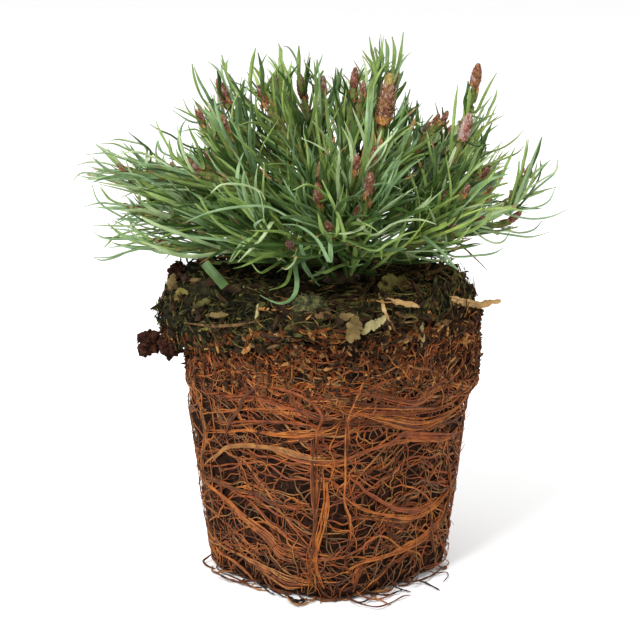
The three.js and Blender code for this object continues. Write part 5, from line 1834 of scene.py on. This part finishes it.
# Needles that stand out of the crown's sides: tint, and x and the height in the front view of the
# places that each one joins. Each grows from the shoot that lies nearest to its first place.
EDGE_NEEDLES = [
    ("blue", [(79, 156), (89, 154), (98, 155), (105, 158)]),
    ("blue", [(81, 158), (91, 159), (97, 162), (100, 168)]),
    ("green", [(86, 163), (93, 166), (101, 168)]),
    ("pale", [(87, 167), (95, 172), (100, 175), (101, 180)]),
    ("blue", [(89, 173), (94, 177), (98, 180)]),
    ("deep", [(89, 176), (92, 183), (94, 190)]),
    ("green", [(85, 174), (87, 183), (88, 189)]),
    ("spring", [(66, 181), (76, 185), (82, 189), (86, 193)]),
    ("spring", [(66, 176), (76, 180), (83, 183), (86, 186)]),
    ("green", [(75, 170), (79, 179), (82, 185)]),
    ("blue", [(72, 152), (82, 148), (90, 149), (94, 153)]),
    ("blue", [(67, 149), (80, 147), (89, 146), (97, 148)]),
    ("pale", [(62, 150), (71, 144), (77, 144), (81, 151)]),
    ("blue", [(53, 138), (67, 138), (73, 139), (77, 141)]),
    ("deep", [(54, 144), (62, 142), (68, 143)]),
    ("green", [(65, 201), (68, 207), (71, 213), (74, 218)]),
    ("green", [(64, 196), (68, 203), (72, 208)]),
    ("spring", [(66, 191), (71, 198), (74, 204)]),
    ("deep", [(67, 186), (70, 192), (72, 196)]),
    ("green", [(54, 184), (55, 196), (56, 206), (57, 213)]),
    ("deep", [(53, 188), (51, 196), (50, 203)]),
    ("deep", [(50, 188), (49, 197), (47, 205)]),
    ("green", [(61, 198), (62, 207), (62, 212)]),
    ("blue", [(-78, 166), (-92, 171), (-103, 174), (-109, 174), (-112, 171)]),
    ("green", [(-78, 165), (-94, 171), (-105, 172), (-110, 173)]),
    ("pale", [(-83, 173), (-96, 178), (-105, 179), (-112, 177)]),
    ("blue", [(-83, 178), (-92, 181), (-98, 183), (-107, 182)]),
    ("green", [(-78, 181), (-87, 184), (-94, 187), (-100, 187)]),
    ("pale", [(-80, 185), (-87, 188), (-93, 189), (-96, 188)]),
    ("deep", [(-78, 183), (-83, 188), (-88, 192)]),
    ("blue", [(-74, 160), (-90, 160), (-100, 161), (-108, 159)]),
    ("blue", [(-84, 152), (-91, 155), (-98, 159), (-102, 163), (-104, 169)]),
    ("green", [(-87, 158), (-95, 162), (-98, 165), (-100, 168)]),
    ("pale", [(-74, 153), (-87, 151), (-96, 151), (-104, 151)]),
    ("blue", [(-84, 145), (-94, 145), (-100, 146), (-103, 148)]),
    ("green", [(-76, 150), (-85, 149), (-94, 146), (-97, 143), (-99, 141)]),
    ("blue", [(-70, 144), (-78, 142), (-90, 139), (-96, 137), (-104, 137)]),
    ("pale", [(-72, 145), (-82, 144), (-92, 142), (-97, 141)]),
    ("green", [(-76, 159), (-88, 156), (-94, 152)]),
    ("blue", [(-54, 141), (-64, 139), (-69, 139), (-72, 136)]),
    ("green", [(-51, 201), (-56, 208), (-59, 216), (-60, 222)]),
    ("blue", [(-43, 206), (-47, 217), (-50, 221), (-53, 223)]),
    ("green", [(-40, 206), (-44, 215), (-46, 222), (-47, 226)]),
    ("green", [(-42, 213), (-45, 218), (-45, 222), (-44, 224)]),
    ("deep", [(-48, 210), (-48, 215), (-49, 219)]),
    ("green", [(-34, 211), (-34, 219), (-33, 225), (-32, 229)]),
    ("deep", [(-29, 211), (-29, 218), (-30, 223), (-31, 227)]),
    ("green", [(-27, 210), (-26, 214), (-24, 218)]),
    ("green", [(-20, 216), (-21, 224), (-21, 228), (-22, 231)]),
    ("blue", [(-13, 218), (-14, 224), (-17, 229), (-20, 230)]),
    ("green", [(-13, 216), (-13, 224), (-13, 230)]),
    ("deep", [(-10, 211), (-9, 219), (-8, 225)]),
    ("blue", [(-9, 215), (-6, 217), (-5, 220), (-5, 224)]),
    ("deep", [(5, 210), (5, 215), (4, 220)]),
    ("green", [(21, 214), (19, 222), (17, 225), (15, 228)]),
    ("green", [(22, 217), (20, 224), (19, 228), (18, 234)]),
    ("green", [(23, 214), (24, 224), (23, 235)]),
    ("blue", [(26, 218), (26, 228), (25, 233)]),
    ("green", [(28, 215), (29, 224), (29, 229), (28, 234)]),
    ("green", [(28, 214), (31, 223), (32, 228), (33, 236)]),
    ("blue", [(30, 212), (32, 217), (33, 219)]),
    ("deep", [(33, 197), (34, 204), (36, 211)]),
    ("deep", [(40, 193), (39, 200), (39, 206)]),
    ("green", [(-56, 197), (-63, 201), (-68, 203)]),
    ("green", [(-55, 196), (-61, 201), (-64, 207)]),
    ("blue", [(-54, 196), (-61, 197), (-69, 202)]),
    ("pale", [(-52, 198), (-57, 203), (-59, 206)]),
    ("green", [(79, 156.4), (82.1, 166.5), (85.2, 175.3), (86.1, 180.6), (87.4, 188.5)]),
    ("blue", [(80.8, 156.8), (84.3, 165.6), (87.4, 171.8), (90, 179.7), (93.5, 189.4)]),
    ("blue", [(80.8, 156.8), (83.9, 165.6), (86.9, 172.2), (89.6, 179.7), (93.1, 188.5)]),
    ("pale", [(79.9, 156.4), (83.9, 164.3), (86.5, 170), (87.8, 175.3)]),
    ("pale", [(80.3, 156.4), (84.7, 164.3), (87.4, 169.6), (88.7, 174.4)]),
    ("deep", [(82.1, 157.7), (87.4, 163.9), (91.8, 170.5), (93.5, 176.2), (93.1, 179.7)]),
    ("blue", [(83.4, 159.5), (90, 166.1), (95.3, 170.5), (99.7, 174.4), (101, 179.3)]),
    ("green", [(83, 161.7), (88.7, 168.7), (93.5, 175.3), (97.5, 179.7)]),
    ("green", [(77.7, 156.4), (80.8, 164.3), (83.4, 172.7), (83.9, 179.3)]),
    ("blue", [(78.1, 156.8), (81.7, 163.4), (84.3, 169.1), (85.6, 175.3)]),
    ("blue", [(-50.8, 204.3), (-53.9, 209.6), (-56.9, 214.9), (-59.1, 220.6)]),
    ("green", [(-50.3, 203.5), (-53, 208.3), (-56.1, 213.1), (-58.3, 218.4)]),
    ("deep", [(63.2, 200.8), (62.7, 207), (63.6, 211.4), (64.1, 214)]),
    ("green", [(68.5, 198.2), (71.1, 202.6), (73.3, 207), (74.2, 210.5)]),
    ("green", [(-66.2, 179.7), (-71.9, 188.5), (-74.1, 192.5), (-75.9, 196.9)]),
    ("green", [(-65.3, 178.4), (-68.8, 181.9), (-69.7, 185), (-70.1, 188.5)]),
    ("blue", [(-67.5, 180.6), (-72.8, 183.2), (-74.5, 185.4), (-75, 188.5)]),
    ("pale", [(-60, 175.3), (-63.5, 181.9), (-65.3, 188.5), (-66.6, 194.7)]),
    ("blue", [(-63.1, 179.7), (-65.7, 186.3), (-64.9, 193.8), (-62.2, 198.2)]),
    ("green", [(-55.2, 177.5), (-57.8, 186.3), (-60, 190.7), (-61.8, 195.1)]),
    ("pale", [(-49.9, 184.1), (-56.5, 192.5), (-60.9, 193.3), (-64.9, 192)]),
    ("deep", [(-54.3, 184.5), (-62.7, 186.3), (-68.8, 190.7), (-74.1, 192.9), (-78.5, 195.5)]),
    ("green", [(-54.3, 190.7), (-56.9, 196), (-58.3, 200.8), (-59.1, 203.9)]),
    ("green", [(-50.8, 196.4), (-55.2, 202.1), (-57.8, 204.8), (-60, 207)]),
    ("deep", [(61, 196.4), (61, 203.9), (61.9, 210.5), (62.3, 214.9)]),
    ("deep", [(60.5, 198.2), (60.1, 206.1), (61.4, 211.4), (61.4, 214.5)]),
    ("green", [(64.1, 205.2), (65.4, 209.2), (65.8, 213.1)]),
    ("blue", [(-88.2, 155.9), (-86, 159), (-86.9, 161.7), (-89.5, 164.3)]),
    ("green", [(-80.3, 159.5), (-82.5, 161.2), (-83.3, 163.4), (-83.3, 165.2)]),
    ("green", [(-77.6, 159.5), (-79.4, 160.8), (-79.8, 163)]),
    ("green", [(-90.8, 160.3), (-96.1, 162.5), (-98.7, 165.6), (-100.5, 167.8)]),
    ("blue", [(-78.5, 141.4), (-86.9, 140.1), (-93.9, 137), (-99.6, 135.7), (-102.7, 136.6)]),
]
# Needles that arch before the others at the front, placed in the same way.
FRONT_NEEDLES = [
    ("blue", [(-16.9, 154.6), (-27, 159.5), (-42, 159), (-53.4, 156.4), (-62.7, 152.4)]),
    ("green", [(-38.9, 165.2), (-30.1, 159), (-18.2, 144.5), (-6.8, 126.9)]),
    ("pale", [(-29.2, 163.9), (-35.8, 168.7), (-46.4, 169.1), (-51.7, 165.2)]),
    ("green", [(-0.6, 163.4), (-8.1, 169.1), (-15.6, 166.5)]),
    ("pale", [(15.2, 150.2), (8.2, 147.6), (0.7, 147.6)]),
    ("blue", [(47.8, 159.5), (35.9, 164.7), (24, 163.4)]),
    ("blue", [(34.6, 145.4), (23.1, 143.2), (18.7, 136.1)]),
    ("green", [(28, 144.5), (15.7, 138.8), (10.8, 130)]),
    ("blue", [(42.5, 145.4), (50.4, 138.8), (57, 131.3)]),
    ("blue", [(42.1, 146.3), (49.5, 139.7), (55.7, 132.2)]),
    ("green", [(-26.6, 155.5), (-31, 148), (-37.6, 141.4), (-42.9, 134.8)]),
    ("pale", [(-24.8, 152.4), (-29.2, 145.4), (-34.5, 140.1), (-39.8, 134.8)]),
    ("green", [(7.3, 144.5), (4.2, 155.5), (0.3, 164.3), (-2.8, 170.9)]),
    ("blue", [(9.5, 162.1), (16.1, 167.4), (24.9, 169.6), (32.4, 166.5)]),
    ("pale", [(19.2, 146.7), (29.3, 152.4), (39.4, 153.7), (47.3, 151.5)]),
    ("blue", [(0.7, 134.8), (-4.6, 144.5), (-12.5, 150.7), (-20, 151.5)]),
    ("deep", [(17.4, 141.9), (23.6, 145.4), (31.5, 149.3), (37.7, 152.4)]),
    ("green", [(19.2, 140.1), (26.2, 143.2), (33.3, 147.1), (40.3, 148.9)]),
    ("deep", [(16.5, 144.5), (22.7, 148), (30.6, 151.5), (35, 155.9)]),
    ("deep", [(20.1, 141.9), (28, 146.3), (35.9, 150.7)]),
]
# Leafy twigs on the right: foot and tip, as x and height in the front view with y between them, pairs
# of needles, and the size and the shares of resin and of rosy scales of the bud.
TWIGS = [
    ([(49, -12, 166.5), (59, -10, 188.5)], 12, 1.25, 0.5, 0.6),
    ([(56.6, 4, 184), (64.4, 2, 212.4)], 8, 1.05, 0.1, 0.12),
    ([(77.7, -10, 156), (87.8, -12, 174)], 12, 0.5, 0.6, 0.4),
]
# Shoots that stop short, where the crown is open: mass, number of the shoot, and how much of it grows.
SHORT_SHOOTS = {
    ("left_mid", 1): 0.66,
    ("left_mid", 2): 0.8,
    ("right_tall", 0): 0.68,
    ("right_tall", 1): 0.6,
    ("right_far", 0): 0.84,
    ("right_low", 1): 0.85,
}
# Buds with a size of their own, by mass and number of the shoot. The others have a seeded one.
BUD_SIZES = {
    ("left_mid", 0): 0.5,
    ("left_mid", 1): 0.5,
    ("left_far", 2): 0.5,
    ("back_far_left", 0): 0.7,
    ("right_low", 1): 0.5,
    ("right_high", 0): 0.72,
    ("right_far", 0): 0.5,
    ("right_tall", 0): 0.6,
    ("right_tall", 1): 0.6,
    ("top_right", 0): 0.5,
}
# A cut leaf that leans up from the crust: places as x, the height in the front view, and how far they
# lie before the ground under its foot, which is the last place.
CUT_LEAF = [(-54.5, 134.4, 8), (-52, 131.4, 10), (-49.2, 128.4, 12), (-45.5, 124, 13)]
CUT_LEAF_HALF_WIDTH = 2.0
PLACED_STOPS = np.linspace(0, 1, 14)


def add_placed_needle(batch, path, half_width):
    t = np.linspace(0, 1, len(path))
    radii = half_width * np.minimum(1, 0.6 + 3 * t) * lerp(1, 0.3, smoothstep(t, 0.65, 1))
    side = np.cross(np.gradient(path, axis=0), UP) + [0, 0, 1e-3]
    add_tubes(batch, path[None], radii, HALF_ROUND, side[None])


def needles_from_stems(batches, shoots, rows, nearness, forward, half_width):
    """Needles that grow from the stems nearest to their first places. nearness is how much a stem
    further to the front is liked, and forward is the range of the needles' way to the front."""
    rng = np.random.default_rng(SEED + 401)
    t = PLACED_STOPS
    stems = np.concatenate([shoot.arc.at(np.linspace(0.1, 1, 24)) for shoot in shoots])
    stems_x, stems_seen = in_view(stems)
    for tint, places in rows:
        x, seen = places[0]
        gap = np.hypot(stems_x - x, stems_seen - seen)
        nearest = np.argmin(gap + nearness * stems[:, 1])
        view = smooth_route([(stems_x[nearest], stems_seen[nearest]), *places], t)
        depth = stems[nearest, 1] - rng.uniform(*forward) * t**0.7
        path = from_view(np.stack([view[:, 0], depth, view[:, 1]], 1))
        add_placed_needle(batches[tint], path, half_width)


def named_needles(batches, bracts, ground):
    """The needles of NAMED_NEEDLES and DEAD_NEEDLES, and the cut leaf."""
    t = PLACED_STOPS
    for tint, half_width, places in NAMED_NEEDLES:
        add_placed_needle(batches[tint], smooth_route(from_view(places), t), half_width)
    for half_width, places in DEAD_NEEDLES:
        add_placed_needle(bracts, smooth_route(from_view(places), t), half_width)
    x, seen, before = np.array(CUT_LEAF).T
    foot = ground.ray_cast(Vector(EYE), Vector(sight_lines(x[-1], seen[-1])))[0]
    path = smooth_route(from_view(np.stack([x, foot.y - before, seen], -1)), t)
    side = np.cross(TO_FRONT, np.gradient(path, axis=0))
    section = round_section(8) * [1, 0.22]
    add_tubes(batches["deep"], path[None], CUT_LEAF_HALF_WIDTH, section, side[None])


# The shoots whose buds stand free of the needles before them.
SHOWN_BUDS = [
    "centre_right", "right_tall", "left_tall", "centre_left", "centre_back", "leader", "front_right",
    "front_left", "right_high", "left_high", "twig",
]


class Shoot:
    """A leafy shoot as it shows: its arc, pairs of needles, and the size and resin of its bud."""

    def __init__(self, mass, arc, leads, candle, rng):
        self.mass, self.arc, self.leads, self.candle = mass, arc, leads, candle
        self.shown = leads and mass in SHOWN_BUDS
        self.size = rng.uniform(*(SHOWN_BUD_SIZE if self.shown else HIDDEN_BUD_SIZE))
        self.resin = RESIN_SHARE
        self.rosy = rng.uniform(*ROSY_SHARE)
        self.neck = CANDLE_NECK if candle else 0
        self.plump = 1
        self.pairs = round(PAIRS_ON_ANY_SHOOT + PAIRS_PER_MM * arc.length)
        if arc.at(1)[0] < FAR_LEFT:
            self.pairs = round(LEFT_DENSITY * self.pairs)


def all_shoots():
    """The CAD model's shoots, some of them cut short, and the twigs on the right."""
    rng = np.random.default_rng(SEED + 402)
    shoots, numbers = [], {}
    for mass, arc, leads, candle in grow_shoots():
        number = numbers[mass] = numbers.get(mass, -1) + 1
        arc = arc.stretch(0, SHORT_SHOOTS.get((mass, number), 1))
        shoot = Shoot(mass, arc, leads, candle, rng)
        shoot.size = BUD_SIZES.get((mass, number), shoot.size)
        if mass == "leader" and leads:
            shoot.neck = LEADER_NECK
        shoots.append(shoot)
    for places, pairs, size, resin, rosy in TWIGS:
        foot, tip = from_view(places)
        arc = straight(foot, unit(tip - foot), np.linalg.norm(tip - foot))
        shoot = Shoot("twig", arc, True, False, rng)
        shoot.pairs, shoot.size, shoot.resin, shoot.rosy = pairs, size, resin, rosy
        shoot.plump = TWIG_PLUMPNESS
        shoots.append(shoot)
    return shoots


# The layers of the buds: piece, material, the piece's slot, the nodes that it stands for, and its crease.
CANDLE_NODE = ["mass_" + CANDLE_MASS]
BUD_LAYERS = {
    "core": ("bud_cores", BUD_CORE, "bark", MASS_NODES, 50),
    "scale": ("bud_scales", BUD_SCALE, "bark", MASS_NODES, 80),
    "resin": ("bud_resin", BUD_RESIN, "bark", MASS_NODES, 80),
    "brown": ("brown_scales", BROWN_SCALE, "bark", MASS_NODES, 80),
    "candle": ("candle_scales", CANDLE_SCALE, "bark", CANDLE_NODE, 80),
    "candle_top": ("candle_top", CANDLE_TOP, "needles", CANDLE_NODE, 80),
    "candle_foot": ("candle_foot", CANDLE_FOOT, "bark", CANDLE_NODE, 80),
}


def make_masses(ground):
    shoots = all_shoots()
    rng = np.random.default_rng(SEED + 400)
    foliage, stems, bracts = Foliage(), Batch(), Batch()
    layers = {name: Batch() for name in BUD_LAYERS}
    buds = []
    for shoot in shoots:
        radius = CANDLE_RADIUS if shoot.candle else BUD_RADIUS * min(1, shoot.size)
        buds.append((risen_bud(shoot), radius, shoot.shown))
    for shoot in shoots:
        stem_tube(stems, shoot.arc, SHOOT_RADIUS if shoot.leads else 1.1 * SHOOT_TIP_RADIUS)
        add_bud(layers, shoot, rng)
        if shoot.neck:
            neck = straight(shoot.arc.at(0.96), risen_bud(shoot).ahead, shoot.neck + 1)
            stem_tube(stems, neck, 1.2 * SHOOT_RADIUS)
        add_needles(foliage, shoot.arc, shoot.pairs, buds, rng)
    for bough in BOUGHS:
        wood = bough_arc(bough).stretch(0.3 * WOOD_LENGTH / bough[5], WOOD_LENGTH / bough[5])
        add_needles(foliage, wood, PAIRS_ON_A_BOUGH, buds, rng)
    for shoot in shoots:
        add_bracts(bracts, shoot.arc, rng)
    edge, front = (EDGE_NEEDLES, 0.1, (-6, 14), 0.9), (FRONT_NEEDLES, 0.4, (14, 24), 1.0)
    for rows, nearness, forward, half_width in (edge, front):
        needles_from_stems(foliage.needles, shoots, rows, nearness, forward, half_width)
    named_needles(foliage.needles, bracts, ground)

    bracts.piece("bracts", BRACT, "bark", MASS_NODES, crease=30)
    for tint, batch in foliage.needles.items():
        batch.piece("needles_" + tint, NEEDLE_TINTS[tint], "needles", MASS_NODES, crease=60)
    foliage.tips.piece("needle_tips", NEEDLE_TIP, "needles", MASS_NODES, crease=60)
    foliage.sheaths.piece("needle_sheaths", SHEATH, "needles", MASS_NODES)
    stems.piece("shoot_stems", STEM, "bark", MASS_NODES, crease=80)
    for name, finish in BUD_LAYERS.items():
        layers[name].piece(*finish)


# ---------------------------------------------------------------- floor, light and camera

LENS = 140
SENSOR = 36
FLOOR_REACH = 12.0
FLOOR_COLOUR = (0.93, 0.93, 0.93, 1)
# Lamps: name, place and size in metres, and power in watts.
LAMPS = [
    ("key", (-0.7, -1.1, 1.3), 0.7, 30),
    ("fill", (1.2, -1.2, 0.7), 1.2, 4),
    ("back", (0.2, 1.4, 1.2), 1.2, 6),
]


def make_floor():
    mesh = bpy.data.meshes.new("floor")
    corners = [(x * FLOOR_REACH, y * FLOOR_REACH, 0) for x, y in ((-1, -1), (1, -1), (1, 1), (-1, 1))]
    mesh.from_pydata(corners, [], [(0, 1, 2, 3)])
    floor = bpy.data.objects.new("floor", mesh)
    bpy.context.scene.collection.objects.link(floor)
    material = bpy.data.materials.new("floor")
    material.use_nodes = True
    shader = material.node_tree.nodes["Principled BSDF"]
    shader.inputs["Base Color"].default_value = FLOOR_COLOUR
    shader.inputs["Roughness"].default_value = 0.9
    mesh.materials.append(material)


def area_light(name, place, size, power):
    lamp = bpy.data.lights.new(name, "AREA")
    lamp.size = size
    lamp.energy = power
    light = bpy.data.objects.new(name, lamp)
    light.location = place
    light.rotation_mode = "QUATERNION"
    light.rotation_quaternion = (Vector(VIEW_CENTRE * MM) - Vector(place)).to_track_quat("-Z", "Y")
    bpy.context.scene.collection.objects.link(light)


def make_light():
    world = bpy.data.worlds.new("studio")
    bpy.context.scene.world = world
    world.use_nodes = True
    sky = world.node_tree.nodes["Background"]
    sky.inputs["Color"].default_value = (1, 1, 1, 1)
    sky.inputs["Strength"].default_value = 1.0
    for lamp in LAMPS:
        area_light(*lamp)
    bpy.context.scene.view_settings.view_transform = "Standard"


def make_camera():
    lens = bpy.data.cameras.new("camera")
    lens.lens = LENS
    lens.sensor_width = SENSOR
    lens.clip_start, lens.clip_end = 0.01, 50
    camera = bpy.data.objects.new("camera", lens)
    camera.location = EYE * MM
    camera.rotation_mode = "QUATERNION"
    camera.rotation_quaternion = Vector(-TO_FRONT).to_track_quat("-Z", "Y")
    bpy.context.scene.collection.objects.link(camera)
    bpy.context.scene.camera = camera


# ---------------------------------------------------------------- assembly

make_camera()
make_light()
make_floor()
ground = make_crust(make_root_ball())
make_trunk()
make_masses(ground)
